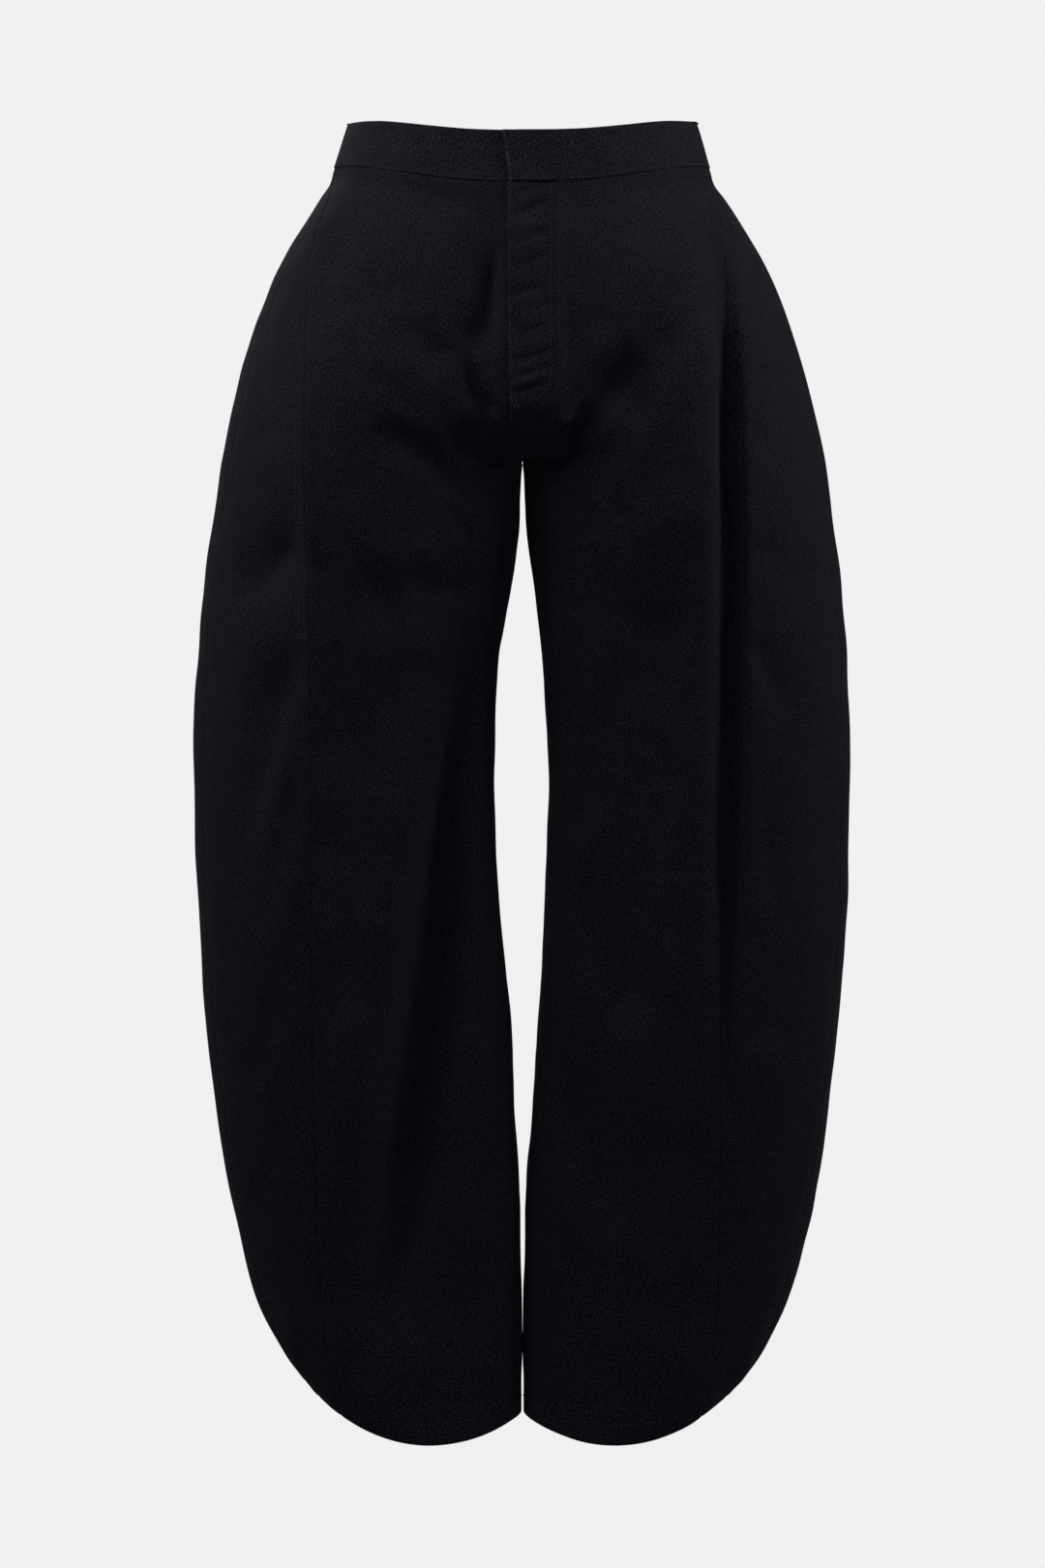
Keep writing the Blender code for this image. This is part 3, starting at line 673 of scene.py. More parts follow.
def crowd(length, count):
    """Distances along rows of given lengths, crowded beside both ends."""
    near = EDGE_STEPS[None, :] * np.minimum(1, length / (EDGE_ROOM * EDGE_STEPS[-1]))[:, None]
    share = np.linspace(0, 1, count + 1)[None, :]
    middle = near[:, -1:] + (length[:, None] - 2 * near[:, -1:]) * share
    return np.concatenate([near[:, :-1], middle, length[:, None] - near[:, -2::-1]], axis=1)


def cell_size(size):
    return size * 1


def row_grid(side, start, end, first, last, cell, grain):
    """A grid of angles and levels, each row running from a start to an end at its own two levels.

    The grain is the angle that a straight thread of the warp keeps to, down the whole panel.
    """
    steps = np.linspace(0, 1, LENGTH_SAMPLES)
    turns = start[:, None] + (end - start)[:, None] * steps
    levels = first[:, None] + (last - first)[:, None] * ease(steps, 0, 1)
    points = bare_form(side, turns, levels)
    runs = np.cumsum(np.linalg.norm(np.diff(points, axis=1), axis=-1), axis=1)
    runs = np.concatenate([np.zeros((len(runs), 1)), runs], axis=1)
    places = crowd(runs[:, -1], max(2, round(runs[:, -1].max() / cell_size(cell))))
    rows = range(len(runs))
    angle = np.array([np.interp(places[i], runs[i], turns[i]) for i in rows])
    down = np.array([np.interp(places[i], runs[i], levels[i]) for i in rows])
    thread = np.array([np.interp(grain[i], turns[i], runs[i]) for i in rows])
    return Grid(angle, down, places, runs[:, -1:] - places, down - down[0], down[-1] - down,
                places - thread[:, None])


def panel_levels():
    """The levels of the panels' rows at the middle and at the sides, from the waistband to the hem."""
    top = BAND_FOOT + SEAM_GAP / 2
    levels = CROTCH - (CROTCH - top) * (1 - np.linspace(0, 1, CURVE_SAMPLES)) ** 2
    curve = bare_form(RIGHT, angle_at(RIGHT, 0, levels), levels)
    run = np.concatenate([[0], np.cumsum(np.linalg.norm(np.diff(curve, axis=0), axis=1))])
    even = np.linspace(EDGE_STEPS[-1], run[-1], round(run[-1] / cell_size(BODY_ROW)))
    body = np.interp(np.concatenate([EDGE_STEPS[:-1], even]), run, levels)
    leg_rows = round((HEM_LEVEL - CROTCH) / cell_size(LEG_ROW))
    leg = np.linspace(CROTCH, HEM_LEVEL - EDGE_STEPS[-1], leg_rows)[1:]
    middle = np.concatenate([body, leg, HEM_LEVEL - EDGE_STEPS[-2::-1]])
    return middle, read_table(ROW_SIDES, "side", middle)


def seam_step(side, angle, down):
    """The angle that half a seam's gap takes up at a place on the form."""
    along = bare_form(side, angle + STEP, down) - bare_form(side, angle - STEP, down)
    run = np.linalg.norm(along, axis=-1)
    return SEAM_GAP / 2 / (run / (2 * STEP))


def front_seam(side, down):
    """The angle of the long front seam."""
    column = "front_right" if side == RIGHT else "front_left"
    return angle_at(side, read_table(SEAMS, column, down), down)


def outseam(side, down):
    """The angle of the outseam, just in front of the outline."""
    out = read_table(SECTIONS, "outer", down) - read_table(SEAMS, "outseam_inset", down)
    return angle_at(side, out, down)


def front_edge(side, down):
    """How far past the middle the front's free edge lies: over the other side, or on below it."""
    over = read_table(FLY_EDGE, "edge", down)
    if side == LEFT:
        return over
    share = np.clip((down - UNDERLAP_TOP) / (UNDERLAP_FOOT - UNDERLAP_TOP), 0, 1)
    return UNDERLAP * (1 - share) - (over + SEAM_GAP) * share


def front_lift(side, x, down):
    """How far the front stands off the form at the fly: over it on the left, sunk below on the right."""
    if side == LEFT:
        covering = (1 - ease(x, LAP_FULL, LAP_FLAT)) * on_fly(down)
        return LAP_LIFT * covering - fold_depth(FLY_PUCKERS, x, down)
    hidden = read_table(FLY_EDGE, "edge", down) + x
    return -UNDERLAP_SINK * ease(hidden, 0, UNDERLAP_SINK_WIDTH) * on_fly(down)


def pocket_opening(down):
    """How far a pocket mouth stands open at a level."""
    return POCKET_OPEN * ease(down, POCKET_TOP, POCKET_TOP + POCKET_EASE) * (
        1 - ease(down, POCKET_FOOT - POCKET_EASE, POCKET_FOOT))


def band_lift(side, angle, down):
    """How far the waistband stands off the form, more where its left half laps over the right one."""
    points = bare_form(side, angle, down)
    covering = 1 - ease(side * points[..., 0], BAND_LAP_FULL, BAND_LAP_FLAT)
    lapping = (BAND_CLOTH + SEAM_GAP) * covering * (points[..., 1] < 0)
    return BAND_PROUD + (lapping if side == LEFT else 0)


def cloth_thickness(down):
    """Single cloth, and the turned-up hem at the foot, in millimetres."""
    single = bpy.context.scene.trousers_cloth.thickness / MM
    fold_level = HEM_LEVEL - HEM_DEPTH
    return single + (HEM_CLOTH - single) * ease(down, fold_level - HEM_STEP, fold_level + HEM_STEP)


def wide(values):
    """A grid with one more row and column all round, carried on straight."""
    return np.pad(values, 1, mode="reflect", reflect_type="odd")


def cloth_mesh(name, side, grid, lift, thickness, wear, material):
    """A thin closed shell: outer and inner faces on a grid, and the rim that joins them."""
    wide_points = folded_form(side, wide(grid.angle), wide(grid.down))
    wide_normals = outward(bare_form, side, wide(grid.angle), wide(grid.down))
    wide_points = wide_points + wide_normals * wide(lift)[..., None]
    along = wide_points[1:-1, 2:] - wide_points[1:-1, :-2]
    below = wide_points[2:, 1:-1] - wide_points[:-2, 1:-1]
    normals = unit(np.cross(along, below) * -side)
    points = wide_points[1:-1, 1:-1]
    nearest = np.minimum.reduce([grid.from_start, grid.from_end, grid.from_top, grid.from_foot])
    turn = edge_turn(nearest, thickness)
    outer = points - normals * turn[..., None]
    inner = points - normals * (thickness - turn)[..., None]
    rows, columns = grid.angle.shape
    numbers = np.arange(rows * columns).reshape(rows, columns)
    here, right = numbers[:-1, :-1].ravel(), numbers[:-1, 1:].ravel()
    below_right, below_here = numbers[1:, 1:].ravel(), numbers[1:, :-1].ravel()
    front = np.stack([here, right, below_right, below_here], axis=1)
    back = np.stack([here, below_here, below_right, right], axis=1) + rows * columns
    rim = np.concatenate([numbers[0, :-1], numbers[:-1, -1], numbers[-1, :0:-1], numbers[:0:-1, 0]])
    following = np.roll(rim, -1)
    edge = np.stack([following, rim, rim + rows * columns, following + rows * columns], axis=1)
    faces = np.concatenate([front, back, edge])
    if side == LEFT:
        faces = faces[:, ::-1]
    places = np.concatenate([outer.reshape(-1, 3), inner.reshape(-1, 3)]) * MM
    mesh = bpy.data.meshes.new(name)
    mesh.from_pydata(places.tolist(), [], faces.tolist())
    corner_vertex = np.empty(len(mesh.loops), int)
    mesh.loops.foreach_get("vertex_index", corner_vertex)
    grain = np.stack([grid.along, -grid.down], axis=-1).reshape(-1, 2) * MM
    grain_map = mesh.uv_layers.new(name="grain")
    grain_map.uv.foreach_set("vector", np.concatenate([grain, grain])[corner_vertex].ravel())
    worn = mesh.attributes.new("wear", "FLOAT", "POINT")
    worn.data.foreach_set("value", np.concatenate([wear.ravel(), np.zeros(wear.size)]))
    mesh.shade_smooth()
    mesh.materials.append(material)
    return mesh


def show(name, mesh):
    """Put a finished mesh in the scene, riding on the garment."""
    piece = bpy.data.objects.new(name, mesh)
    bpy.context.scene.collection.objects.link(piece)
    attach(piece, BODY)
    return piece


def add_panel(kind, side, word, grid, lift, thickness, wear):
    """Add one cut panel of cloth in place of its plain solid."""
    node = f"{kind}_{word}"
    on_band = kind == "waistband"
    material = band_twill() if on_band else body_twill()
    mesh = cloth_mesh(f"{node}_cloth", side, grid, lift, thickness, wear, material)
    piece = show(f"{node}_cloth", mesh)
    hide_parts(node)


def add_front(side, word):
    """The front of one side, from the fly, crotch seam and inseam to the long front seam."""
    middle, sides = panel_levels()
    inseam_gap = seam_step(side, np.zeros_like(middle), middle)
    start = np.where(middle < CROTCH, front_angle(side, -front_edge(side, middle), middle), inseam_gap)
    end = front_seam(side, sides)
    end = end - seam_step(side, end, sides)
    grid = row_grid(side, start, end, middle, sides, FRONT_CELL, angle_at(side, GRAIN_OUT, middle))
    points = bare_form(side, grid.angle, grid.down)
    level = -points[..., 2]
    lift = front_lift(side, points[..., 0], level) + seam_ridge(grid.from_top)
    lift += pucker(grid.from_top, grid.along) + hem_pucker(grid)
    lift += valley(grid.from_top) + valley(grid.from_end)
    lift += valley(grid.from_start) * (1 - on_fly(level))
    lift += pocket_opening(level) * fade(grid.from_end, POCKET_FRONT_SPREAD)
    wear = rubbed(grid.from_start, FLY_RUB) * (on_fly(level) if side == LEFT else 0)
    wear = wear + rubbed(grid.from_end, SEAM_RUB) + rubbed(grid.from_foot, HEM_RUB)
    add_panel("front", side, word, grid, lift, cloth_thickness(grid.down), wear)


def add_side(side, word):
    """The crescent between the long front seam and the outseam, narrow at the waist and at the hem."""
    _, sides = panel_levels()
    start = front_seam(side, sides)
    start = start + seam_step(side, start, sides)
    end = outseam(side, sides)
    end = end - seam_step(side, end, sides)
    grid = row_grid(side, start, end, sides, sides, SIDE_CELL, start)
    lift = valley(grid.from_start) + valley(grid.from_end) + seam_ridge(grid.from_top)
    lift += hem_pucker(grid) - pocket_opening(grid.down) * fade(grid.from_start, POCKET_SIDE_SPREAD)
    wear = rubbed(grid.from_end, OUTSEAM_RUB) + rubbed(grid.from_foot, HEM_RUB)
    add_panel("side", side, word, grid, lift, cloth_thickness(grid.down), wear)


def add_back(side, word):
    """The back of one side, round the outline from the outseam to the centre back and the inseam."""
    middle, sides = panel_levels()
    start = outseam(side, sides)
    start = start + seam_step(side, start, sides)
    inseam_gap = seam_step(side, np.zeros_like(middle), middle)
    end = 2 * np.pi - np.where(middle < CROTCH, angle_at(side, SEAM_GAP / 2, middle), inseam_gap)
    grain = 2 * np.pi - angle_at(side, GRAIN_OUT, middle)
    grid = row_grid(side, start, end, sides, middle, BACK_CELL, grain)
    lift = valley(grid.from_start) + valley(grid.from_end) + valley(grid.from_top)
    lift += seam_ridge(grid.from_top) + pucker(grid.from_top, grid.along) + hem_pucker(grid)
    wear = rubbed(grid.from_start, OUTSEAM_RUB) + rubbed(grid.from_foot, HEM_RUB)
    add_panel("back", side, word, grid, lift, cloth_thickness(grid.down), wear)


def band_grid(side):
    """The grid of half of the waistband, from its lap at the middle front to the centre back."""
    depth = np.array([BAND_FOOT - SEAM_GAP / 2 - BAND_TOP])
    levels = BAND_TOP + crowd(depth, round(depth[0] / cell_size(BAND_CELL)))[0]
    lap = np.interp(levels, [BAND_TOP, BAND_FOOT], [BAND_LAP_TOP, BAND_LAP_FOOT])
    start = front_angle(side, -lap if side == LEFT else np.full(len(levels), -UNDERLAP), levels)
    end = 2 * np.pi - angle_at(side, SEAM_GAP / 2, levels)
    return row_grid(side, start, end, levels, levels, BAND_CELL, angle_at(side, GRAIN_OUT, levels))


def add_waistband(side, word):
    """Half of the waistband."""
    grid = band_grid(side)
    thickness = np.full(grid.angle.shape, BAND_CLOTH)
    lift = band_lift(side, grid.angle, grid.down) + pucker(grid.from_foot, grid.along)
    wear = rubbed(grid.from_top, BAND_TOP_RUB) + rubbed(grid.from_foot, BAND_FOOT_RUB)
    if side == LEFT:
        part = grid.from_top / grid.from_top.max()
        swing = LAP_RUB.amount + LAP_RUB_SWING * np.cos(LAP_RUB_TURNS * part)
        wear = wear + swing * fade(grid.from_start, LAP_RUB.width)
    add_panel("waistband", side, word, grid, lift, thickness, wear)


class Wire:
    """A socket of a shader's tree that can be used in sums."""

    def __init__(self, tree, socket=None):
        self.tree = tree
        self.socket = socket

    def node(self, kind, settings=(), inputs=(), output=0):
        """Add any node: its settings first, then the values or wires of its sockets."""
        made = self.tree.nodes.new(kind)
        for name, value in dict(settings).items():
            setattr(made, name, value)
        for name, value in dict(inputs).items():
            if isinstance(value, Wire):
                self.tree.links.new(value.socket, made.inputs[name])
            else:
                made.inputs[name].default_value = value
        return Wire(self.tree, made.outputs[output])

    def sum(self, operation, first, second=0.0, clamp=False):
        """Add a Math node."""
        settings = {"operation": operation, "use_clamp": clamp}
        return self.node("ShaderNodeMath", settings, {0: first, 1: second})

    def __add__(self, other):
        return self.sum("ADD", self, other)

    def __sub__(self, other):
        return self.sum("SUBTRACT", self, other)

    def __mul__(self, other):
        return self.sum("MULTIPLY", self, other)

    __radd__ = __add__
    __rmul__ = __mul__

    def sine(self):
        """The sine of this value."""
        return self.sum("SINE", self)

    def clamped(self):
        """This value, kept from 0 to 1."""
        return self.sum("ADD", self, 0.0, clamp=True)


def principled(name, colour, roughness, specular):
    """A new material, with its tree, its shader and a wire to start sums from."""
    material = bpy.data.materials.new(name)
    material.use_nodes = True
    shader = material.node_tree.nodes["Principled BSDF"]
    shader.inputs["Base Color"].default_value = (*colour, 1)
    shader.inputs["Roughness"].default_value = roughness
    shader.inputs["Specular IOR Level"].default_value = specular
    return material, shader, Wire(material.node_tree)


def blotches(start, place, uneven):
    """Noise about 0, from -0.5 to 0.5."""
    noise = start.node("ShaderNodeTexNoise", inputs={
        "Vector": place, "Scale": uneven.scale, "Detail": uneven.detail, "Roughness": uneven.roughness})
    return noise - 0.5


def mixed_colour(start, factor, first, second):
    """A blend of two colours, each a wire or three numbers."""
    first, second = (colour if isinstance(colour, Wire) else (*colour, 1) for colour in (first, second))
    return start.node("ShaderNodeMix", {"data_type": "RGBA"}, {"Factor": factor, 6: first, 7: second},
                      output=2)


def shades(colour, shares, lightness=1.0):
    """A darker and a lighter shade of a colour."""
    return [[channel * share * lightness for channel in colour] for share in shares]


def twill(name, lightness):
    """Black cotton twill: diagonal wales, flecked yarn, faint blotches and rubbed edges."""
    cloth = bpy.context.scene.trousers_cloth
    material, shader, start = principled(name, cloth.colour, cloth.roughness, CLOTH_SPECULAR)
    grain = start.node("ShaderNodeUVMap", {"uv_map": "grain"})
    body = start.node("ShaderNodeTexCoord", output="Object")
    stretched = start.node("ShaderNodeMapping", inputs={"Vector": grain, "Scale": WARP_STRETCH})
    split = start.node("ShaderNodeSeparateXYZ", inputs={"Vector": grain})
    across = Wire(start.tree, split.socket.node.outputs["X"])
    down = Wire(start.tree, split.socket.node.outputs["Y"])
    wander = blotches(start, grain, WALE_WANDER) * WALE_WANDER.tone
    wale = ((across - down) * (2 * math.pi / cloth.wale) + wander).sine()
    fleck = blotches(start, grain, FLECK)
    warp = blotches(start, stretched, WARP)
    cloud = blotches(start, body, CLOUD)
    patch = blotches(start, body, PATCH)
    tone = 0.5 + fleck * FLECK.tone + warp * WARP.tone + cloud * CLOUD.tone + patch * PATCH.tone
    tone = tone + wale * WALE_TONE
    flecked = mixed_colour(start, tone.clamped(), *shades(cloth.colour, YARN_SHADES, lightness))
    wear = start.node("ShaderNodeAttribute", {"attribute_name": "wear"}, output="Fac")
    worn = (wear * (WEAR_START + fleck * WEAR_FLECK + patch * WEAR_PATCH)).clamped()
    colour = mixed_colour(start, worn, flecked, cloth.worn_colour)
    height = wale * WALE_RELIEF + fleck * FLECK_RELIEF + warp * WARP_RELIEF
    bump = start.node("ShaderNodeBump", output="Normal", inputs={
        "Height": height, "Strength": RELIEF_STRENGTH, "Distance": RELIEF_DEPTH})
    start.tree.links.new(colour.socket, shader.inputs["Base Color"])
    start.tree.links.new(bump.socket, shader.inputs["Normal"])
    shader.inputs["Sheen Weight"].default_value = cloth.sheen
    shader.inputs["Sheen Roughness"].default_value = SHEEN_ROUGHNESS
    shader.inputs["Sheen Tint"].default_value = SHEEN_TINT
    return material


def sewing_thread():
    """Black thread, a little lighter than the cloth, with the twist of its strands."""
    thread = bpy.context.scene.trousers_thread
    material, shader, start = principled("sewing_thread", thread.colour, THREAD_ROUGHNESS,
                                         THREAD_SPECULAR)
    body = start.node("ShaderNodeTexCoord", output="Object")
    tone = (0.5 + blotches(start, body, TWIST) * TWIST.tone).clamped()
    colour = mixed_colour(start, tone, *shades(thread.colour, THREAD_SHADES))
    start.tree.links.new(colour.socket, shader.inputs["Base Color"])
    return material


def finish_named(name, make):
    """The material of this name, made when it is first asked for."""
    return bpy.data.materials.get(name) or make()


def body_twill():
    """The twill of the legs and hips."""
    return finish_named("black_twill", lambda: twill("black_twill", 1.0))


def band_twill():
    """The doubled twill of the waistband, a little lighter than the body's."""
    return finish_named("black_twill_band", lambda: twill("black_twill_band", BAND_LIGHTNESS))


def stitch_tree():
    """Geometry nodes that lay one stitch after another along rows of sewing."""
    tree = bpy.data.node_groups.new("Stitch rows", "GeometryNodeTree")
    face = tree.interface
    face.new_socket("Stitches", in_out="OUTPUT", socket_type="NodeSocketGeometry")
    face.new_socket("Rows", in_out="INPUT", socket_type="NodeSocketGeometry")
    for name in ("Pitch", "Stitch Length", "Thread Width"):
        face.new_socket(name, in_out="INPUT", socket_type="NodeSocketFloat")
    face.new_socket("Seed", in_out="INPUT", socket_type="NodeSocketInt")
    face.new_socket("Finish", in_out="INPUT", socket_type="NodeSocketMaterial")
    given = tree.nodes.new("NodeGroupInput").outputs
    result = tree.nodes.new("NodeGroupOutput")
    start = Wire(tree)

    def value(name):
        return Wire(tree, given[name])

    curve = start.node("GeometryNodeMeshToCurve", inputs={"Mesh": value("Rows")})
    spaced = start.node("GeometryNodeResampleCurve", {"mode": "LENGTH"}, {
        "Curve": curve, "Length": value("Pitch")})
    tangent = start.node("GeometryNodeInputTangent")
    face_out = start.node("GeometryNodeInputNamedAttribute", {"data_type": "FLOAT_VECTOR"}, {
        "Name": "outward"})
    along = start.node("FunctionNodeAlignRotationToVector", {"axis": "Z"}, {"Vector": tangent})
    turned = start.node("FunctionNodeAlignRotationToVector", {"axis": "X", "pivot_axis": "Z"}, {
        "Rotation": along, "Vector": face_out})
    bead = start.node("GeometryNodeMeshUVSphere", inputs={
        "Segments": BEAD_SIDES, "Rings": BEAD_RINGS, "Radius": 0.5})
    size = start.node("ShaderNodeCombineXYZ", inputs={
        "X": value("Thread Width") * THREAD_FLATNESS, "Y": value("Thread Width"),
        "Z": value("Stitch Length")})
    stitch = start.node("GeometryNodeTransform", inputs={"Geometry": bead, "Scale": size})
    uneven = start.node("FunctionNodeRandomValue", {"data_type": "FLOAT_VECTOR"}, {
        0: SMALLEST_STITCH, 1: LARGEST_STITCH, "Seed": value("Seed")})
    laid = start.node("GeometryNodeInstanceOnPoints", inputs={
        "Points": spaced, "Instance": stitch, "Rotation": turned, "Scale": uneven})
    real = start.node("GeometryNodeRealizeInstances", inputs={"Geometry": laid})
    dyed = start.node("GeometryNodeSetMaterial", inputs={"Geometry": real, "Material": value("Finish")})
    tree.links.new(dyed.socket, result.inputs["Stitches"])
    return tree


# A row of sewing: its side, the angles and levels it runs through, and how far it stands off the form
SewnRow = namedtuple("SewnRow", "side angle down lift")


def sewn_row(side, angle, down, lift):
    """A row of sewing that lies just proud of the cloth."""
    return SewnRow(side, angle, down, np.broadcast_to(lift, angle.shape) + THREAD_PROUD)


def steps_between(start, end):
    """Values about a millimetre apart."""
    return np.linspace(start, end, max(3, round(abs(end - start) / ROW_STEP)))


def front_row(side, x, down):
    """A row of sewing on a front, given across and down."""
    angle = front_angle(side, side * x, down)
    return sewn_row(side, angle, down, front_lift(side, x, down))


def fly_rows():
    """The fly: one row along its edge and two that run down and curve in to it."""
    down = steps_between(ROW_TOP, CENTRE_ROW_FOOT)
    rows = [front_row(LEFT, FLY_EDGE_INSET - read_table(FLY_EDGE, "edge", down), down)]
    sweep = np.linspace(0, np.pi / 2, SWEEP_STEPS)[1:]
    for row in FLY_ROWS:
        straight = steps_between(ROW_TOP, row.turn)
        curve = FLY_ROW_END + (row.x - FLY_ROW_END) * np.cos(sweep)
        x = np.concatenate([np.full(len(straight), row.x), curve])
        level = np.concatenate([straight, row.turn + (row.foot - row.turn) * np.sin(sweep)])
        rows.append(front_row(LEFT, x, level))
    return rows


def fly_tack():
    """The bar tack at the foot of the fly: stitches packed side by side."""
    across = np.array([-0.5, 0, 0.5]) * FLY_TACK.width
    shift = math.sin(FLY_TACK.tilt), math.cos(FLY_TACK.tilt)
    rows = []
    for share in np.linspace(-0.5, 0.5, round(FLY_TACK.length / TACK_SPACING)):
        run = share * FLY_TACK.length
        x = FLY_TACK.x + run * shift[0] + across * shift[1]
        rows.append(front_row(LEFT, x, FLY_TACK.down + run * shift[1] - across * shift[0]))
    return rows


def side_row(side, inset, down):
    """A row of sewing on a side panel, a given distance outside the long front seam."""
    seam = front_seam(side, down)
    angle = seam + seam_step(side, seam, down) * 2 / SEAM_GAP * inset
    return sewn_row(side, angle, down, -pocket_opening(down) * fade(inset, POCKET_SIDE_SPREAD))


def band_rows(side):
    """Edge stitching along the foot of the waistband, and down its end where it laps over."""
    foot = np.full(BAND_ROW_POINTS, BAND_FOOT - BAND_ROW_INSET)
    start = front_angle(side, np.full(1, -BAND_ROW_STARTS[side]), foot[:1])
    end = 2 * np.pi - angle_at(side, CENTRE_ROW_INSET, foot[:1])
    angle = np.linspace(start[0], end[0], len(foot))
    rows = [sewn_row(side, angle, foot, band_lift(side, angle, foot))]
    if side == LEFT:
        level = steps_between(*BAND_END_ROW)
        edge = np.interp(level, [BAND_TOP, BAND_FOOT], [BAND_LAP_TOP, BAND_LAP_FOOT])
        angle = front_angle(side, BAND_ROW_INSET - edge, level)
        rows.append(sewn_row(side, angle, level, band_lift(side, angle, level)))
    return rows


def hem_row(side):
    """The row that holds the turned-up hem, all round one leg."""
    angle = np.linspace(HEM_ROW_START, 2 * np.pi - HEM_ROW_START, HEM_ROW_POINTS)
    down = np.full(len(angle), HEM_LEVEL - HEM_DEPTH + HEM_ROW_RISE)
    return sewn_row(side, angle, down, 0)


def centre_back_row(side):
    """Edge stitching beside the centre back seam."""
    down = steps_between(ROW_TOP, CENTRE_ROW_FOOT)
    angle = 2 * np.pi - angle_at(side, CENTRE_ROW_INSET, down)
    return sewn_row(side, angle, down, -VALLEY_DEPTH / 2)


def sewing_rows():
    """Every row of sewing that shows."""
    rows = fly_rows() + fly_tack()
    mouth = steps_between(POCKET_ROW_TOP, POCKET_FOOT)
    for side, _ in SIDES:
        rows += band_rows(side)
        rows.append(hem_row(side))
        rows += [side_row(side, inset, mouth) for inset in POCKET_ROW_INSETS]
        rows += [side_row(side, inset, POCKET_FOOT + POCKET_TACK_DOWN) for inset in POCKET_TACK_INSETS]
    rows.append(centre_back_row(LEFT))
    return rows


def rows_mesh(rows):
    """One mesh of bare edges that follows every row, with its outward directions."""
    points, directions, edges = [], [], []
    count = 0
    for side, _ in SIDES:
        own = [row for row in rows if row.side == side]
        angle, down, lift = (
            np.concatenate([getattr(row, name) for row in own]) for name in ("angle", "down", "lift"))
        normals = outward(folded_form, side, angle, down)
        points.append(folded_form(side, angle, down) + normals * lift[:, None])
        directions.append(normals)
        for row in own:
            edges += [(count + i, count + i + 1) for i in range(len(row.angle) - 1)]
            count += len(row.angle)
    mesh = bpy.data.meshes.new("sewing_rows")
    mesh.from_pydata((np.concatenate(points) * MM).tolist(), edges, [])
    attribute = mesh.attributes.new("outward", "FLOAT_VECTOR", "POINT")
    attribute.data.foreach_set("vector", np.concatenate(directions).ravel())
    return mesh


class SewFronts(bpy.types.Operator):
    """Sew in both fronts, with the lap of the hidden fly"""

    bl_idname = "trousers.sew_fronts"
    bl_label = "Fronts"

    def execute(self, context):
        """Add both fronts."""
        for side, word in SIDES:
            add_front(side, word)
        return {"FINISHED"}


class SewSides(bpy.types.Operator):
    """Sew in both crescent side panels, with the pocket mouths on their front edges"""

    bl_idname = "trousers.sew_sides"
    bl_label = "Side panels"

    def execute(self, context):
        """Add both side panels."""
        for side, word in SIDES:
            add_side(side, word)
        return {"FINISHED"}


class SewBacks(bpy.types.Operator):
    """Sew in both backs"""

    bl_idname = "trousers.sew_backs"
    bl_label = "Backs"

    def execute(self, context):
        """Add both backs."""
        for side, word in SIDES:
            add_back(side, word)
        return {"FINISHED"}


class SewWaistbands(bpy.types.Operator):
    """Sew on both halves of the waistband"""

    bl_idname = "trousers.sew_waistbands"
    bl_label = "Waistband"

    def execute(self, context):
        """Add both halves."""
        for side, word in SIDES:
            add_waistband(side, word)
        return {"FINISHED"}


class SewStitches(bpy.types.Operator):
    """Lay the stitches of every row of sewing and the bar tacks"""

    bl_idname = "trousers.sew_stitches"
    bl_label = "Stitching"

    def execute(self, context):
        """Add the stitching as one mesh."""
        thread = context.scene.trousers_thread
        carrier = bpy.data.objects.new("sewing_rows", rows_mesh(sewing_rows()))
        context.scene.collection.objects.link(carrier)
        modifier = carrier.modifiers.new("Stitches", "NODES")
        modifier.node_group = stitch_tree()
        values = {"Pitch": thread.pitch, "Stitch Length": thread.length, "Thread Width": thread.width,
                  "Seed": thread.seed, "Finish": finish_named("sewing_thread", sewing_thread)}
        for socket in modifier.node_group.interface.items_tree:
            if socket.in_out == "INPUT" and socket.name in values:
                modifier[socket.identifier] = values[socket.name]
        evaluated = carrier.evaluated_get(context.evaluated_depsgraph_get())
        mesh = bpy.data.meshes.new_from_object(evaluated)
        mesh.name = "stitching"
        mesh.shade_smooth()
        if not mesh.polygons:
            raise RuntimeError("no stitches were made")
        bpy.data.objects.remove(carrier, do_unlink=True)
        show("stitching", mesh)
        return {"FINISHED"}


def stage_floor(ground, drop):
    """A wide pale floor that glows evenly to the eye, and takes a trace of shadow."""
    mesh = bpy.data.meshes.new("floor")
    corners = [(x * FLOOR_REACH, y * FLOOR_REACH, -drop) for x, y in ((-1, -1), (1, -1), (1, 1), (-1, 1))]
    mesh.from_pydata(corners, [], [(0, 1, 2, 3)])
    material = bpy.data.materials.new("pale_floor")
    material.use_nodes = True
    tree = material.node_tree
    tree.nodes.clear()
    start = Wire(tree)
    matt = start.node("ShaderNodeBsdfDiffuse", inputs={"Color": FLOOR_TONE})
    even = start.node("ShaderNodeEmission", inputs={"Color": (*ground, 1), "Strength": 1.0})
    seen = start.node("ShaderNodeLightPath", output="Is Camera Ray")
    mixed = start.node("ShaderNodeMixShader", inputs={0: seen * FLOOR_GLOW, 1: matt, 2: even})
    out = tree.nodes.new("ShaderNodeOutputMaterial")
    tree.links.new(mixed.socket, out.inputs["Surface"])
    mesh.materials.append(material)
    floor = bpy.data.objects.new("floor", mesh)
    bpy.context.scene.collection.objects.link(floor)


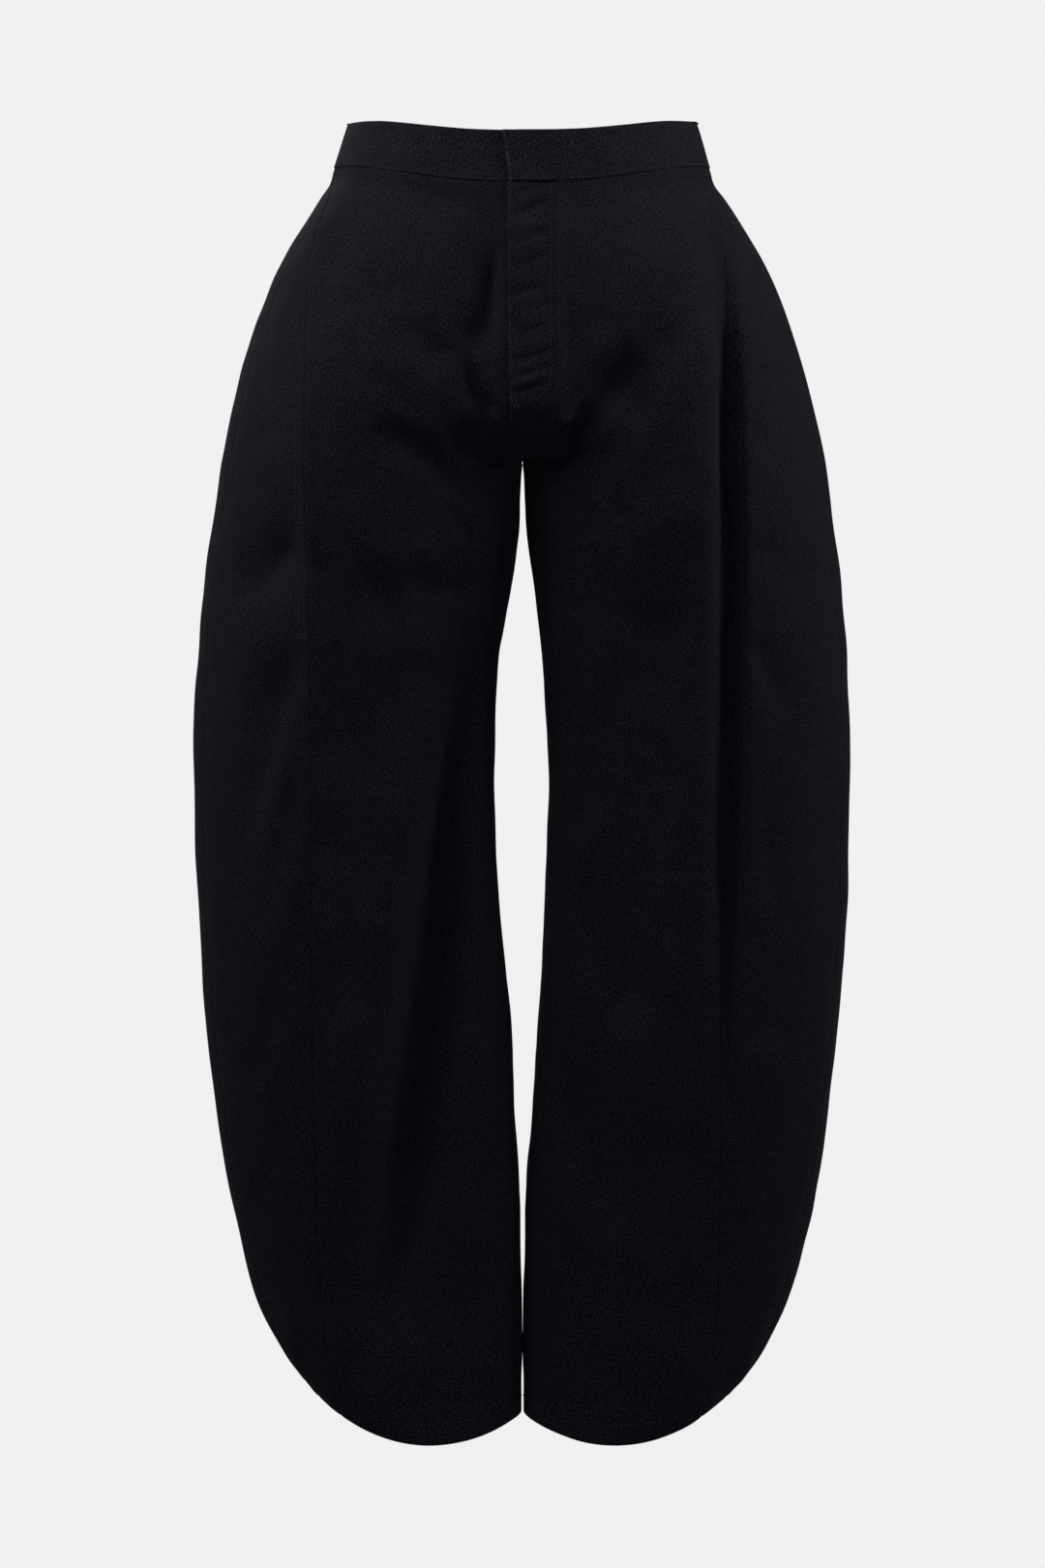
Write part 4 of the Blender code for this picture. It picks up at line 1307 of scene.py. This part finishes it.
def stage_air(ground, strength):
    """Even pale air: as light as the floor to the eye, dimmer and cooler as a light."""
    world = bpy.data.worlds.new("pale_air")
    world.use_nodes = True
    tree = world.node_tree
    tree.nodes.clear()
    start = Wire(tree)
    seen = start.node("ShaderNodeLightPath", output="Is Camera Ray")
    shade = mixed_colour(start, seen, AIR_TINT, ground)
    strength = seen * (1 - strength) + strength
    even = start.node("ShaderNodeBackground", inputs={"Color": shade, "Strength": strength})
    out = tree.nodes.new("ShaderNodeOutputWorld")
    tree.links.new(even.socket, out.inputs["Surface"])
    bpy.context.scene.world = world


def soft_light(light, power):
    """A soft rectangular light."""
    data = bpy.data.lights.new(light.name, "AREA")
    data.shape = "RECTANGLE"
    data.size = light.width
    data.size_y = light.height
    data.energy = power
    data.color = light.tint
    made = bpy.data.objects.new(light.name, data)
    made.location = light.place
    made.rotation_euler = (Vector(light.aim) - Vector(light.place)).to_track_quat("-Z", "Y").to_euler()
    bpy.context.scene.collection.objects.link(made)


class SetStage(bpy.types.Operator):
    """Set up the pale ground, the soft light and the camera"""

    bl_idname = "trousers.set_stage"
    bl_label = "Stage"

    def execute(self, context):
        """Add the floor, the lights and the camera."""
        stage = context.scene.trousers_stage
        stage_floor(stage.ground, stage.drop)
        stage_air(stage.ground, stage.air)
        for light in LIGHTS:
            soft_light(light, getattr(stage, light.setting) * light.share)
        data = bpy.data.cameras.new("camera")
        data.sensor_fit = "VERTICAL"
        data.sensor_height = SENSOR_HEIGHT
        data.lens = SENSOR_HEIGHT * CAMERA_DISTANCE / FIELD_HEIGHT
        camera = bpy.data.objects.new("camera", data)
        camera.location = (0, -CAMERA_DISTANCE, CAMERA_LEVEL)
        camera.rotation_euler = (math.pi / 2, 0, 0)
        context.scene.collection.objects.link(camera)
        context.scene.camera = camera
        context.scene.view_settings.view_transform = "Standard"
        return {"FINISHED"}


class TrousersPanel(bpy.types.Panel):
    """Sizes, colours and pieces of the trousers"""

    bl_idname = "VIEW3D_PT_trousers"
    bl_label = "Barrel leg trousers"
    bl_space_type = "VIEW_3D"
    bl_region_type = "UI"
    bl_category = "Trousers"

    def draw(self, context):
        """List the settings and the pieces."""
        layout = self.layout
        for group_name in GROUPS:
            group = getattr(context.scene, group_name)
            box = layout.box()
            for name in group.bl_rna.properties.keys():
                if name not in ("rna_type", "name"):
                    box.prop(group, name)
        for operator in OPERATORS:
            layout.operator(operator.bl_idname)


GROUPS = {
    "trousers_cloth": TrousersCloth, "trousers_thread": TrousersThread, "trousers_stage": TrousersStage,
}
OPERATORS = (SewFronts, SewSides, SewBacks, SewWaistbands, SewStitches, SetStage)


def register():
    """Register the settings, the operators and the panel."""
    for name, group in GROUPS.items():
        bpy.utils.register_class(group)
        setattr(bpy.types.Scene, name, PointerProperty(type=group))
    for made in (*OPERATORS, TrousersPanel):
        bpy.utils.register_class(made)


def unregister():
    """Take everything out again."""
    for made in reversed((*OPERATORS, TrousersPanel)):
        bpy.utils.unregister_class(made)
    for name, group in GROUPS.items():
        delattr(bpy.types.Scene, name)
        bpy.utils.unregister_class(group)


def main():
    """Make every piece and the stage."""
    register()
    bpy.ops.trousers.sew_fronts()
    bpy.ops.trousers.sew_sides()
    bpy.ops.trousers.sew_backs()
    bpy.ops.trousers.sew_waistbands()
    bpy.ops.trousers.sew_stitches()
    bpy.ops.trousers.set_stage()


if __name__ == "__main__":
    main()
